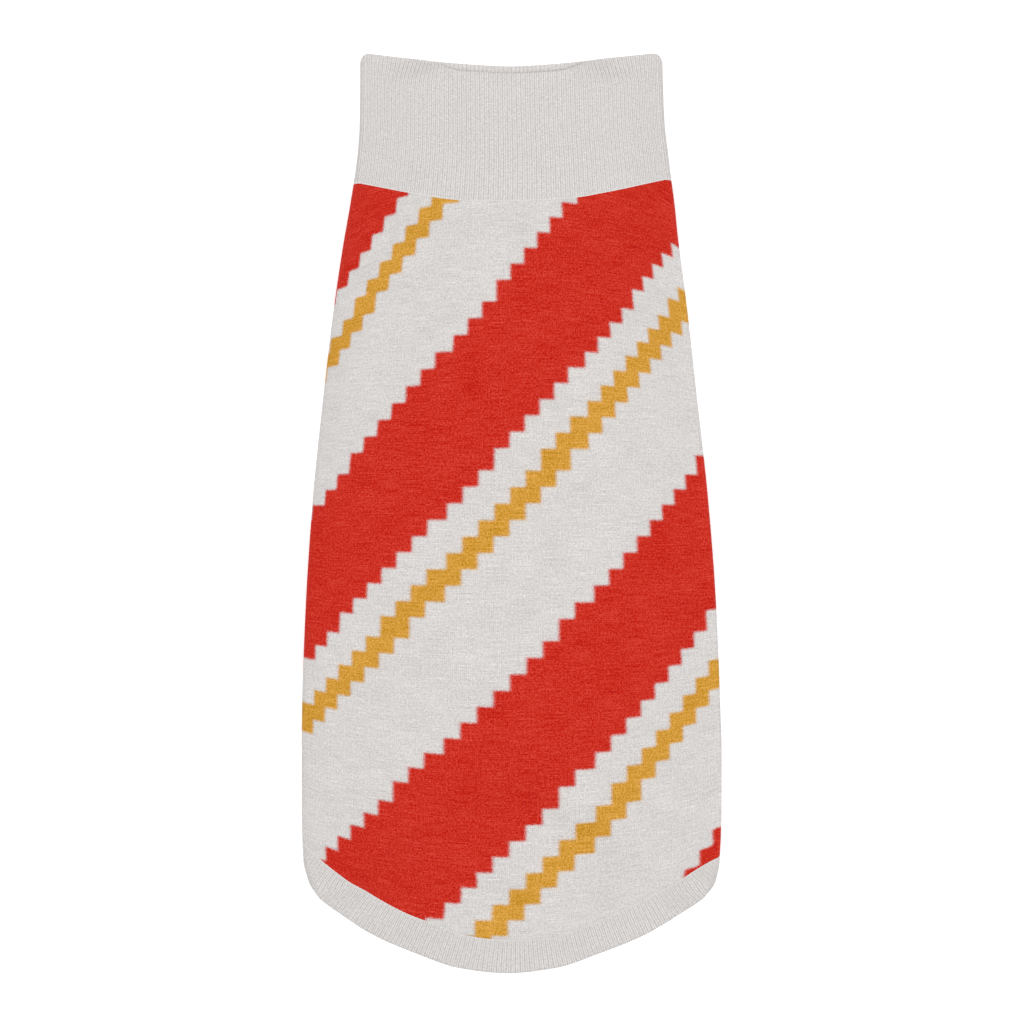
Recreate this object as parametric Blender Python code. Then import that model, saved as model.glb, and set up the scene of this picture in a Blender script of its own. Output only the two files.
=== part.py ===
"""Dog sweater, laid flat with its back up.

The sweater is a knitted tube pressed flat: a back panel that wraps round both side folds, a
belly panel between two seams underneath, and ribbed bands at the neck, hem and leg holes.
X runs across, Y towards the neck and Z up from the surface that the cloth lies on.

Every piece is cut from one map of the tube. A place on it has a girth share and a Y:
the share is 0 on the middle of the back, 1 where a side fold starts, 2 where it ends
underneath and 3 on the middle of the belly, and it is negative on the left side.
Sizes are in millimetres until a vertex is made.
"""

import math
from collections import namedtuple

import bmesh
import bpy

MM = 0.001

# The whole garment
HALF_LENGTH = 230.0
WALL = 2.0
GAP_MIDDLE = 0.8
GAP_FOLD = 2.2
FOLD_PUFF = 18.0
SEAM_GAP = 0.3
FOLD_RADIUS = (2 * WALL + GAP_FOLD) / 2

# Flat outline at each height: half of the width, fold to fold, and how far its middle is off X = 0
Outline = namedtuple("Outline", "y half_width middle")
OUTLINE = (
    Outline(y=-230.0, half_width=99.2, middle=-2.2),
    Outline(y=-208.0, half_width=99.2, middle=-1.2),
    Outline(y=-190.0, half_width=99.2, middle=0.0),
    Outline(y=-184.0, half_width=101.8, middle=0.2),
    Outline(y=-173.0, half_width=104.2, middle=-0.1),
    Outline(y=-143.0, half_width=105.0, middle=0.0),
    Outline(y=-118.0, half_width=105.0, middle=0.0),
    Outline(y=-93.0, half_width=104.5, middle=-0.3),
    Outline(y=-43.0, half_width=102.5, middle=-0.4),
    Outline(y=7.0, half_width=98.9, middle=-0.6),
    Outline(y=57.0, half_width=93.6, middle=-0.8),
    Outline(y=107.0, half_width=87.8, middle=-0.6),
    Outline(y=132.0, half_width=84.3, middle=-0.4),
    Outline(y=157.0, half_width=80.8, middle=0.4),
    Outline(y=177.0, half_width=78.0, middle=0.6),
    Outline(y=197.0, half_width=76.2, middle=0.2),
    Outline(y=230.0, half_width=75.6, middle=-0.2),
)

# Collar: the upper layer's edge sags below the lower layer's, so the neck shows as a slot
COLLAR_DIP = 6.4
COLLAR_DIP_POWER = 1.45
COLLAR_CORNER = 4.0
NECK_SLOT = 3.7
NECK_SLOT_REACH = 0.92
NECK_SLOT_POWER = 5
COLLAR_SEAM_Y = 156.4
COLLAR_SEAM_RISE = 9.85
COLLAR_SEAM_HALF_WIDTH = 80.0
COLLAR_SEAM_POWER = 2.2
COLLAR_SEAM_TILT = 0.0128
THROAT_SEAM_DROP = 10.0

# Ribs: a ridge and a groove every pitch, cut into the outer face over a plain inside
RIB_DEPTH = 0.45
COLLAR_RIBS = 71
HEM_RIBS = 108
WALE_SPREAD = 0.12

# Hem band: its seam to the body and its free edge. Girth is the distance round the cloth,
# from 0 on the middle of the back to the middle of the belly
HEM_FLAT = 101.0
HEM_FOLD = math.pi * FOLD_RADIUS
HEM_GIRTH = 2 * HEM_FLAT + HEM_FOLD
HemPlace = namedtuple("HemPlace", "seam_girth seam_y edge_girth edge_y")
HEM = (
    HemPlace(seam_girth=0.0, seam_y=-212.9, edge_girth=0.0, edge_y=-HALF_LENGTH),
    HemPlace(seam_girth=21.2, seam_y=-210.6, edge_girth=24.7, edge_y=-227.5),
    HemPlace(seam_girth=42.4, seam_y=-203.3, edge_girth=48.2, edge_y=-220.1),
    HemPlace(seam_girth=63.6, seam_y=-195.3, edge_girth=71.4, edge_y=-210.8),
    HemPlace(seam_girth=82.8, seam_y=-183.3, edge_girth=93.9, edge_y=-197.3),
    HemPlace(seam_girth=87.4, seam_y=-179.9, edge_girth=99.8, edge_y=-193.1),
    HemPlace(seam_girth=91.5, seam_y=-176.6, edge_girth=104.7, edge_y=-188.9),
    HemPlace(seam_girth=101.0, seam_y=-169.6, edge_girth=110.7, edge_y=-182.4),
    HemPlace(seam_girth=110.7, seam_y=-163.0, edge_girth=119.8, edge_y=-175.7),
    HemPlace(seam_girth=136.0, seam_y=-145.0, edge_girth=145.1, edge_y=-158.0),
    HemPlace(seam_girth=161.2, seam_y=-127.5, edge_girth=170.0, edge_y=-141.3),
    HemPlace(seam_girth=186.5, seam_y=-113.0, edge_girth=192.5, edge_y=-128.2),
    HemPlace(seam_girth=HEM_GIRTH, seam_y=-106.7, edge_girth=HEM_GIRTH, edge_y=-123.2),
)
HEM_CORNER_SHARE = 0.92
HEM_SKEW = 2.7
HEM_SKEW_POWER = 6

# The back's tail lies on the surface past the belly's hem, after a soft step down
STEP_START = 4.0
STEP_LENGTH = 24.0

# Belly panel: half of its width between the two seams underneath
Width = namedtuple("Width", "y half_width")
BELLY = (
    Width(y=-140.0, half_width=65.0),
    Width(y=0.0, half_width=57.0),
    Width(y=100.0, half_width=46.0),
    Width(y=160.0, half_width=29.0),
)

# Leg holes, each on a seam underneath, with a flat ring of rib round it
LEG_X = 46.0
LEG_Y = 102.0
LEG_HOLE_HALF_WIDTH = 20.0
LEG_HOLE_HALF_LENGTH = 26.0
LEG_BAND = 12.0

# How finely each piece is stepped, and each seam followed
FOLD_STEPS = 6
COLLAR_ROWS = 4
COLLAR_UNDER_STEPS = 14
HEM_ROWS = 4
HEM_UNDER_STEPS = 26
BACK_STEPS = 28
FLAP_STEPS = 5
BACK_ROWS = 8
TAIL_ROWS = 14
BACK_ROWS_SHARE = 0.55
BELLY_STEPS = 14
BELLY_ROWS = 12
LEG_STEPS = 44
LEG_ROWS = 2
HEM_EDGE_STEPS = 36
HEM_LENGTH_STEPS = 400
MEETING_TRIES = 12
TILT_STEP = 0.01

JACQUARD = ("jacquard_knit", (0.70, 0.67, 0.65, 1.0), 0.9)
RIB = ("rib_knit", (0.68, 0.65, 0.63, 1.0), 0.92)


def blend(start, end, share):
    return start + (end - start) * share


def steps(start, end, count):
    return [blend(start, end, i / count) for i in range(count + 1)]


def ease(share):
    """Soft step from 0 to 1."""
    share = min(max(share, 0.0), 1.0)
    return share * share * (3 - 2 * share)


def slopes(places, values, level_ends):
    """Slope at each place of a table, level at its turns, so the curve never overshoots."""
    runs = [(values[i + 1] - values[i]) / (places[i + 1] - places[i]) for i in range(len(places) - 1)]
    found = [0.0 if level_ends else runs[0]]
    for before, after in zip(runs, runs[1:]):
        found.append(2 * before * after / (before + after) if before * after > 0 else 0.0)
    return found + [0.0 if level_ends else runs[-1]]


def smooth_value(rows, key, value, at, level_ends=True):
    """Column value at a place of column key, on a smooth curve through a table's rows."""
    places = [getattr(row, key) for row in rows]
    values = [getattr(row, value) for row in rows]
    tilt = slopes(places, values, level_ends)
    at = min(max(at, places[0]), places[-1])
    i = max(n for n in range(len(places) - 1) if n == 0 or places[n] <= at)
    span = places[i + 1] - places[i]
    t = (at - places[i]) / span
    start = (1 + 2 * t) * (1 - t) ** 2 * values[i] + t * (1 - t) ** 2 * span * tilt[i]
    end = t * t * (3 - 2 * t) * values[i + 1] - t * t * (1 - t) * span * tilt[i + 1]
    return start + end


def flat_half(y):
    """Half of the flat width between the two side folds."""
    return smooth_value(OUTLINE, "y", "half_width", y) - FOLD_RADIUS


def belly_half(y):
    return smooth_value(BELLY, "y", "half_width", y)


def hem_girth(share):
    """Distance round the cloth at the hem for a girth share of 0 or more."""
    if share <= 1:
        return share * HEM_FLAT
    if share <= 2:
        return HEM_FLAT + (share - 1) * HEM_FOLD
    return HEM_FLAT + HEM_FOLD + (share - 2) * HEM_FLAT


def hem_share(girth):
    """Girth share at a distance round the cloth at the hem."""
    if girth <= HEM_FLAT:
        return girth / HEM_FLAT
    if girth <= HEM_FLAT + HEM_FOLD:
        return 1 + (girth - HEM_FLAT) / HEM_FOLD
    return 2 + (girth - HEM_FLAT - HEM_FOLD) / HEM_FLAT


def hem_edge(share):
    """Girth and Y of the hem's free edge, opposite a share of 0 or more on its seam."""
    girth = hem_girth(share)
    edge_girth = smooth_value(HEM, "seam_girth", "edge_girth", girth, level_ends=False)
    return edge_girth, smooth_value(HEM, "seam_girth", "edge_y", girth)


def belly_hem_edge():
    """The belly's hem edge, from its middle to where it comes round the side fold, as (x, y)."""
    points = []
    for share in steps(3.0, HEM_CORNER_SHARE, HEM_EDGE_STEPS):
        edge_girth, y = hem_edge(share)
        edge_share = hem_share(edge_girth)
        if edge_share >= 2:
            points.append(((3 - edge_share) * flat_half(y), y))
        else:
            points.append((flat_half(y) + FOLD_RADIUS * math.sin(math.pi * (edge_share - 1)), y))
    return points


BELLY_HEM_EDGE = belly_hem_edge()


def past_belly_hem(x, y):
    """How far a place on the back lies past the belly's hem edge, square to that edge."""
    x = min(abs(x), BELLY_HEM_EDGE[-1][0])
    for (x0, y0), (x1, y1) in zip(BELLY_HEM_EDGE, BELLY_HEM_EDGE[1:]):
        if x <= x1:
            break
    share = (x - x0) / (x1 - x0)
    return (blend(y0, y1, share) - y) * (x1 - x0) / math.hypot(x1 - x0, y1 - y0)


def under_back(x, y):
    """Height of the back's inner face: on the lower layer, then down to the surface."""
    puff = ease((abs(x) - flat_half(y) + FOLD_PUFF) / FOLD_PUFF)
    lying = WALL + blend(GAP_MIDDLE, GAP_FOLD, puff)
    return lying * (1 - ease((past_belly_hem(x, y) - STEP_START) / STEP_LENGTH))


def middle(y):
    return smooth_value(OUTLINE, "y", "middle", y)


def across(share, y):
    """Distance from the garment's middle: along the back, at the fold's start, or along the belly."""
    side = math.copysign(1.0, share)
    reach = abs(share)
    if reach <= 1:
        return side * reach * flat_half(y)
    if reach < 2:
        return side * flat_half(y)
    return side * (3 - reach) * flat_half(y)


def cloth_point(share, y, depth):
    """Point of the tube at a girth share and a Y, sunk into the wall by depth."""
    offset = across(share, y)
    x = middle(y) + offset
    reach = abs(share)
    if reach <= 1:
        return (x, y, under_back(offset, y) + WALL - depth)
    if reach >= 2:
        return (x, y, depth)
    turn = math.pi * (reach - 1)
    outer = (under_back(offset, y) + WALL) / 2
    radius = outer - depth
    return (x + math.copysign(radius * math.sin(turn), share), y, outer + radius * math.cos(turn))


def collar_seam(share, y):
    """Y of the seam between collar and body: a shallow curve, deeper under the throat."""
    x = across(share, y)
    bow = abs(x / COLLAR_SEAM_HALF_WIDTH) ** COLLAR_SEAM_POWER
    start = COLLAR_SEAM_Y - THROAT_SEAM_DROP * ease(abs(share) - 1) * (1 - bow)
    return start + COLLAR_SEAM_RISE * bow + COLLAR_SEAM_TILT * x


def collar_edge(share, y):
    """Y of the collar's free edge: a soft dip with round corners, lower on the back."""
    half_width = smooth_value(OUTLINE, "y", "half_width", HALF_LENGTH)
    corner_x = half_width - COLLAR_CORNER
    turn = math.pi * (abs(share) - 1) if 1 < abs(share) < 2 else 0.0
    x = abs(across(share, y)) + FOLD_RADIUS * math.sin(turn)
    if x > corner_x:
        past = min(x - corner_x, COLLAR_CORNER)
        return HALF_LENGTH - COLLAR_CORNER + math.sqrt(COLLAR_CORNER ** 2 - past ** 2)
    dip = COLLAR_DIP * (1 - (x / corner_x) ** COLLAR_DIP_POWER)
    on_back = 1 - ease(abs(share) - 1)
    slot = max(0.0, 1 - (x / (NECK_SLOT_REACH * half_width)) ** NECK_SLOT_POWER)
    return HALF_LENGTH - dip - NECK_SLOT * slot * on_back


def hem_skew(share):
    """The back's hem seam runs a little higher on the left than on the right."""
    reach = min(abs(share), 1.0) ** HEM_SKEW_POWER * (1 - ease((abs(share) - 1) / 2))
    return -math.copysign(HEM_SKEW, share) * reach


def hem_seam(share, y):
    """Y of the seam between body and hem band, which doesn't depend on the Y it is sought at."""
    return smooth_value(HEM, "seam_girth", "seam_y", hem_girth(abs(share))) + hem_skew(share)


def side_seam_share(side, y):
    """Girth share of the seam between back and belly."""
    return side * (3 - belly_half(y) / flat_half(y))


def meet(place, seam):
    """Y where a line of cloth meets a seam. place gives the line's girth share at a Y."""
    y = 0.0
    for _ in range(MEETING_TRIES):
        y = seam(place(y), y)
    return y


def add_solid(name, outer, inner, closed, material):
    """Closed wall from two equal grids of points; closed joins the last column to the first."""
    mesh = bpy.data.meshes.new(name)
    bm = bmesh.new()
    grids = [[[bm.verts.new([MM * v for v in point]) for point in column] for column in grid]
             for grid in (outer, inner)]
    columns = len(outer)
    rows = len(outer[0])
    last = columns if closed else columns - 1
    for grid in grids:
        for i in range(last):
            for j in range(rows - 1):
                here, there = grid[i], grid[(i + 1) % columns]
                bm.faces.new((here[j], there[j], there[j + 1], here[j + 1]))
    face, back = grids
    for i in range(last):
        k = (i + 1) % columns
        for j in (0, rows - 1):
            bm.faces.new((face[i][j], face[k][j], back[k][j], back[i][j]))
    if not closed:
        for i in (0, columns - 1):
            for j in range(rows - 1):
                bm.faces.new((face[i][j], face[i][j + 1], back[i][j + 1], back[i][j]))
    bmesh.ops.recalc_face_normals(bm, faces=bm.faces)
    bm.to_mesh(mesh)
    bm.free()
    mesh.materials.append(material)
    piece = bpy.data.objects.new(name, mesh)
    bpy.context.scene.collection.objects.link(piece)
    return piece


def make_material(name, colour, roughness):
    material = bpy.data.materials.new(name)
    material.use_nodes = True
    shader = material.node_tree.nodes["Principled BSDF"]
    shader.inputs["Base Color"].default_value = colour
    shader.inputs["Roughness"].default_value = roughness
    return material


def rib_groove(index, share):
    """Depth of the rib at every second place; the face that lies on the surface stays flat."""
    if index % 2 == 0 or abs(share) >= 2:
        return 0.0
    return RIB_DEPTH * (1 - ease(abs(share) - 1))


def wale_share(place):
    """Girth share of a knitted column on the back; columns stand closer near the folds."""
    return (1 + WALE_SPREAD) * place - WALE_SPREAD * place ** 3


def ring_shares(upper, under_steps):
    """Girth shares once round the tube, from the given places over the back."""
    fold = steps(1.0, 2.0, FOLD_STEPS)
    under = steps(2.0, 3.0, under_steps // 2)
    right = fold[1:] + under[1:]
    left = [-share for share in reversed(right[:-1])]
    return left + upper + right


def make_collar(material):
    upper = [wale_share(place) for place in steps(-1.0, 1.0, 2 * COLLAR_RIBS)]
    shares = ring_shares(upper, COLLAR_UNDER_STEPS)
    first = shares.index(upper[0])
    outer, inner = [], []
    for index, share in enumerate(shares):
        low = meet(lambda y: share, collar_seam) + SEAM_GAP / 2
        high = meet(lambda y: share, collar_edge)
        groove = rib_groove(index - first, share)
        ys = steps(low, high, COLLAR_ROWS)
        outer.append([cloth_point(share, y, groove) for y in ys])
        inner.append([cloth_point(share, y, WALL) for y in ys])
    return add_solid("collar", outer, inner, True, material)


def hem_upper_shares():
    """Places over the back, a half rib apart along the seam."""
    fine = steps(-1.0, 1.0, HEM_LENGTH_STEPS)
    points = [(across(share, hem_seam(share, 0)), hem_seam(share, 0)) for share in fine]
    run = [0.0]
    for start, end in zip(points, points[1:]):
        run.append(run[-1] + math.dist(start, end))
    shares = []
    i = 0
    for wanted in steps(0.0, run[-1], 2 * HEM_RIBS):
        while i < len(run) - 2 and run[i + 1] < wanted:
            i += 1
        shares.append(blend(fine[i], fine[i + 1], (wanted - run[i]) / (run[i + 1] - run[i])))
    return shares


def make_hem(material):
    upper = hem_upper_shares()
    shares = ring_shares(upper, HEM_UNDER_STEPS)
    first = shares.index(upper[0])
    outer, inner = [], []
    for index, share in enumerate(shares):
        edge_girth, edge_y = hem_edge(abs(share))
        face, back = [], []
        for part in steps(0.0, 1.0, HEM_ROWS):
            place = hem_share(blend(hem_girth(abs(share)), edge_girth, part))
            place = math.copysign(place, share)
            y = blend(hem_seam(share, 0), edge_y, part)
            face.append(cloth_point(place, y, rib_groove(index - first, place)))
            back.append(cloth_point(place, y, WALL))
        outer.append(face)
        inner.append(back)
    return add_solid("hem_rib", outer, inner, True, material)


def panel_column(place, ys_shares):
    """One line of cloth from the collar's seam to the hem's, as outer and inner points."""
    top = meet(place, collar_seam) - SEAM_GAP / 2
    low = meet(place, hem_seam)
    share = place(low)
    rise = hem_seam(share + TILT_STEP, 0) - hem_seam(share - TILT_STEP, 0)
    tilt = 0.0 if 1 < abs(share) < 2 else rise / (2 * TILT_STEP * flat_half(low))
    low += SEAM_GAP * math.hypot(1.0, tilt)
    ys = [blend(top, low, part) for part in ys_shares]
    outer = [cloth_point(place(y), y, 0.0) for y in ys]
    inner = [cloth_point(place(y), y, WALL) for y in ys]
    return outer, inner


def flap_place(side, part):
    """Line on the underside of the back panel, between the fold and the side seam."""
    def place(y):
        seam = side_seam_share(side, y) - side * SEAM_GAP / 2 / flat_half(y)
        return blend(side * 2.0, seam, part)
    return place


def make_back(material):
    places = [flap_place(-1, part) for part in steps(1.0, 0.0, FLAP_STEPS)[:-1]]
    fixed = [-share for share in steps(2.0, 1.0, FOLD_STEPS)[:-1]]
    fixed += steps(-1.0, 1.0, BACK_STEPS)
    fixed += steps(1.0, 2.0, FOLD_STEPS)[1:]
    places += [lambda y, share=share: share for share in fixed]
    places += [flap_place(1, part) for part in steps(0.0, 1.0, FLAP_STEPS)[1:]]
    rows = steps(0.0, BACK_ROWS_SHARE, BACK_ROWS) + steps(BACK_ROWS_SHARE, 1.0, TAIL_ROWS)[1:]
    outer, inner = zip(*[panel_column(place, rows) for place in places])
    return add_solid("back_panel", outer, inner, False, material)


def make_belly(material):
    def line(part):
        def place(y):
            half = (belly_half(y) - SEAM_GAP / 2) / flat_half(y)
            return math.copysign(3 - abs(part) * half, part)
        return place
    places = [line(part) for part in steps(-1.0, 1.0, BELLY_STEPS)]
    outer, inner = zip(*[panel_column(place, steps(0.0, 1.0, BELLY_ROWS)) for place in places])
    return add_solid("belly_panel", outer, inner, False, material)


def oval(side, half_width, half_length, turn):
    """Point of an oval round a leg hole."""
    x = middle(LEG_Y) + side * LEG_X + half_width * math.cos(turn)
    return (x, LEG_Y + half_length * math.sin(turn))


def make_leg_rib(name, side, material):
    """Flat ring in the lower layer, from its seam to the open hole."""
    outer, inner = [], []
    for turn in steps(0.0, 2 * math.pi, LEG_STEPS)[:-1]:
        ring = []
        for grow in steps(LEG_BAND - SEAM_GAP, 0.0, LEG_ROWS):
            ring.append(oval(side, LEG_HOLE_HALF_WIDTH + grow, LEG_HOLE_HALF_LENGTH + grow, turn))
        outer.append([(x, y, 0.0) for x, y in ring])
        inner.append([(x, y, WALL) for x, y in ring])
    return add_solid(name, outer, inner, True, material)


def cut_leg_hole(side, panels, material):
    """Oval cut through the lower layer only, from below it to the middle of the gap."""
    low = -WALL
    high = WALL + GAP_MIDDLE / 2
    places = [oval(side, LEG_HOLE_HALF_WIDTH + LEG_BAND, LEG_HOLE_HALF_LENGTH + LEG_BAND, turn)
              for turn in steps(0.0, 2 * math.pi, LEG_STEPS)[:-1]]
    mesh = bpy.data.meshes.new("leg_cutter")
    bm = bmesh.new()
    floor = [bm.verts.new((MM * x, MM * y, MM * low)) for x, y in places]
    face = bm.faces.new(floor)
    raised = bmesh.ops.extrude_face_region(bm, geom=[face])["geom"]
    lifted = [item for item in raised if isinstance(item, bmesh.types.BMVert)]
    bmesh.ops.translate(bm, verts=lifted, vec=(0.0, 0.0, MM * (high - low)))
    bmesh.ops.recalc_face_normals(bm, faces=bm.faces)
    bm.to_mesh(mesh)
    bm.free()
    mesh.materials.append(material)
    cutter = bpy.data.objects.new("leg_cutter", mesh)
    cutter.hide_render = True
    cutter.display_type = "WIRE"
    bpy.context.scene.collection.objects.link(cutter)
    for panel in panels:
        hole = panel.modifiers.new("leg_hole", "BOOLEAN")
        hole.operation = "DIFFERENCE"
        hole.solver = "EXACT"
        hole.object = cutter


def main():
    for left_over in list(bpy.data.objects):
        bpy.data.objects.remove(left_over, do_unlink=True)
    jacquard = make_material(*JACQUARD)
    rib = make_material(*RIB)
    make_collar(rib)
    back = make_back(jacquard)
    belly = make_belly(jacquard)
    make_hem(rib)
    for name, side in (("leg_rib_left", -1), ("leg_rib_right", 1)):
        make_leg_rib(name, side, rib)
        cut_leg_hole(side, (back, belly), jacquard)


main()
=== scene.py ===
# %% [markdown]
# # A knitted dog sweater, laid flat
# A dog sweater is a knitted tube with a rib collar, a rib band round the hem and two leg holes
# underneath. Here it lies on a table with its back up, pressed flat. The lesson builds the cloth as
# thin closed shells, lays thread along the seams, knits the stripes in the material and then sets
# the floor, the lights and the camera.

import math
from collections import namedtuple
from functools import partial

import bmesh
import bpy
import numpy as np
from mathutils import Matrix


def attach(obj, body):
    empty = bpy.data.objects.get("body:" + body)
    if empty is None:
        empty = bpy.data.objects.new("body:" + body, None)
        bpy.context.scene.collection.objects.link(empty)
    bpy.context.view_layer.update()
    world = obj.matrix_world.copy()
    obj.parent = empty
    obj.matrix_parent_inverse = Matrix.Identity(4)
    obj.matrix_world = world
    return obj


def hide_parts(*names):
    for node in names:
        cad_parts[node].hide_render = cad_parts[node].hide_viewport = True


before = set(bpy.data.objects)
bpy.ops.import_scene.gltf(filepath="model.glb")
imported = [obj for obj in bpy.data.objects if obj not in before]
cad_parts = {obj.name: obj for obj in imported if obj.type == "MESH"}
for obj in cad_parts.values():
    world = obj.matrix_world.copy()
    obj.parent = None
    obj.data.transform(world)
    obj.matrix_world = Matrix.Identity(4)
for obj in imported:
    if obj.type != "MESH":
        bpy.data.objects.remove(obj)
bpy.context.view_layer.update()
print("solids in the frame:", sorted(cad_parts))

# %% [markdown]
# ## One map of the tube
# All pieces are cut from the same tube of cloth, so one map places every point of it. A place has a
# girth share and a Y. The share is 0 on the middle of the back, 1 where a side fold starts, 2 where
# it ends underneath and 3 on the middle of the belly, and it is negative on the left side. Neighbours
# that use the same map always meet. Each piece could be drawn by hand instead, but then every change
# of the outline would open the seams.

# %% Sizes of the cloth, in millimetres
MM = 0.001
HALF_LENGTH = 230.0
WALL = 2.0
GAP_MIDDLE = 0.8
GAP_FOLD = 2.2
FOLD_PUFF = 18.0
SEAM_GAP = 0.3
FOLD_RADIUS = (2 * WALL + GAP_FOLD) / 2

Outline = namedtuple("Outline", "y half_width middle")
OUTLINE = (
    Outline(y=-230.0, half_width=99.2, middle=-2.2),
    Outline(y=-208.0, half_width=99.2, middle=-1.2),
    Outline(y=-190.0, half_width=99.2, middle=0.0),
    Outline(y=-184.0, half_width=101.8, middle=0.2),
    Outline(y=-173.0, half_width=104.2, middle=-0.1),
    Outline(y=-143.0, half_width=105.0, middle=0.0),
    Outline(y=-118.0, half_width=105.0, middle=0.0),
    Outline(y=-93.0, half_width=104.5, middle=-0.3),
    Outline(y=-43.0, half_width=102.5, middle=-0.4),
    Outline(y=7.0, half_width=98.9, middle=-0.6),
    Outline(y=57.0, half_width=93.6, middle=-0.8),
    Outline(y=107.0, half_width=87.8, middle=-0.6),
    Outline(y=132.0, half_width=84.3, middle=-0.4),
    Outline(y=157.0, half_width=80.8, middle=0.4),
    Outline(y=177.0, half_width=78.0, middle=0.6),
    Outline(y=197.0, half_width=76.2, middle=0.2),
    Outline(y=230.0, half_width=75.6, middle=-0.2),
)

Width = namedtuple("Width", "y half_width")
BELLY = (
    Width(y=-140.0, half_width=65.0),
    Width(y=0.0, half_width=57.0),
    Width(y=100.0, half_width=46.0),
    Width(y=160.0, half_width=29.0),
)
print("the garment is", 2 * FOLD_RADIUS, "mm thick")

# %% [markdown]
# The tables are short, so the curve between two rows has to be smooth and must not swing past them.
# A cubic whose slope is level at each turn of the table does that.


# %% Curves through the tables
def ease(share):
    """Soft step from 0 to 1."""
    share = np.clip(share, 0.0, 1.0)
    return share * share * (3 - 2 * share)


def smooth_curve(rows, key, value, at, level_ends=True):
    """Column value at places of column key, on a smooth curve that never overshoots its rows."""
    places = np.array([getattr(row, key) for row in rows])
    values = np.array([getattr(row, value) for row in rows])
    runs = np.diff(values) / np.diff(places)
    before, after = runs[:-1], runs[1:]
    same_way = before * after > 0
    turns = np.where(same_way, 2 * before * after / np.where(same_way, before + after, 1.0), 0.0)
    ends = (0.0, 0.0) if level_ends else (runs[0], runs[-1])
    tilt = np.concatenate(([ends[0]], turns, [ends[1]]))
    at = np.clip(at, places[0], places[-1])
    i = np.clip(np.searchsorted(places, at, side="right") - 1, 0, len(places) - 2)
    span = places[i + 1] - places[i]
    t = (at - places[i]) / span
    start = (1 + 2 * t) * (1 - t) ** 2 * values[i] + t * (1 - t) ** 2 * span * tilt[i]
    return start + t * t * (3 - 2 * t) * values[i + 1] - t * t * (1 - t) * span * tilt[i + 1]


def middle(y):
    return smooth_curve(OUTLINE, "y", "middle", y)


def flat_half(y):
    """Half of the flat width between the two side folds."""
    return smooth_curve(OUTLINE, "y", "half_width", y) - FOLD_RADIUS


def belly_half(y):
    return smooth_curve(BELLY, "y", "half_width", y)


print("widest at the chest:", 2 * max(row.half_width for row in OUTLINE), "mm")

# %% [markdown]
# ## The hem's line
# The hem hangs lower on the back than on the belly, so its seam and its edge are given by the
# distance round the cloth. Past the belly's hem nothing lies under the back, so there it comes down
# to the table in a soft step.

# %% Hem table and its curves
HEM_FLAT = 101.0
HEM_FOLD = math.pi * FOLD_RADIUS
HEM_GIRTH = 2 * HEM_FLAT + HEM_FOLD
HemPlace = namedtuple("HemPlace", "seam_girth seam_y edge_girth edge_y")
HEM = (
    HemPlace(seam_girth=0.0, seam_y=-213.6, edge_girth=0.0, edge_y=-HALF_LENGTH),
    HemPlace(seam_girth=21.2, seam_y=-212.5, edge_girth=24.7, edge_y=-227.5),
    HemPlace(seam_girth=42.4, seam_y=-205.7, edge_girth=48.2, edge_y=-220.1),
    HemPlace(seam_girth=63.6, seam_y=-196.35, edge_girth=71.4, edge_y=-210.8),
    HemPlace(seam_girth=82.8, seam_y=-185.4, edge_girth=93.9, edge_y=-197.3),
    HemPlace(seam_girth=87.4, seam_y=-181.6, edge_girth=99.8, edge_y=-193.1),
    HemPlace(seam_girth=91.5, seam_y=-178.0, edge_girth=104.7, edge_y=-188.9),
    HemPlace(seam_girth=101.0, seam_y=-170.1, edge_girth=110.7, edge_y=-182.4),
    HemPlace(seam_girth=110.7, seam_y=-163.0, edge_girth=119.8, edge_y=-175.7),
    HemPlace(seam_girth=136.0, seam_y=-145.0, edge_girth=145.1, edge_y=-158.0),
    HemPlace(seam_girth=161.2, seam_y=-127.5, edge_girth=170.0, edge_y=-141.3),
    HemPlace(seam_girth=186.5, seam_y=-113.0, edge_girth=192.5, edge_y=-128.2),
    HemPlace(seam_girth=HEM_GIRTH, seam_y=-106.7, edge_girth=HEM_GIRTH, edge_y=-123.2),
)
HEM_CORNER_SHARE = 0.92
HEM_EDGE_STEPS = 36
HEM_SKEW = 2.7
HEM_SKEW_POWER = 10
HEM_LIFT = 1.6
HEM_LIFT_GIRTH = 33.0
HEM_LIFT_REACH = 16.0
HEM_FOLD_DROP = 2.0
FOLD_MIDDLE_SHARE = 1.5
HEM_FOLD_REACH = 0.4
SHARES = (0.0, 1.0, 2.0, 3.0)
GIRTHS = (0.0, HEM_FLAT, HEM_FLAT + HEM_FOLD, HEM_GIRTH)


def hem_girth(share):
    """Distance round the cloth at the hem for a girth share of 0 or more."""
    return np.interp(share, SHARES, GIRTHS)


def hem_share(girth):
    return np.interp(girth, GIRTHS, SHARES)


def hem_edge(share):
    """Girth and Y of the hem's free edge, opposite a share of 0 or more on its seam."""
    girth = hem_girth(share)
    edge_girth = smooth_curve(HEM, "seam_girth", "edge_girth", girth, level_ends=False)
    return edge_girth, smooth_curve(HEM, "seam_girth", "edge_y", girth)


def hem_seam(share):
    """Y of the seam between body and hem band: higher on the left and at the pull, lower in the folds."""
    reach = np.minimum(np.abs(share), 1.0) ** HEM_SKEW_POWER * (1 - ease((np.abs(share) - 1) / 2))
    level = smooth_curve(HEM, "seam_girth", "seam_y", hem_girth(np.abs(share)))
    lift = HEM_LIFT * np.exp(-(((share * HEM_FLAT + HEM_LIFT_GIRTH) / HEM_LIFT_REACH) ** 2))
    drop = HEM_FOLD_DROP * np.exp(-(((share - FOLD_MIDDLE_SHARE) / HEM_FOLD_REACH) ** 2))
    return level - np.sign(share) * HEM_SKEW * reach + lift - drop


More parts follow.
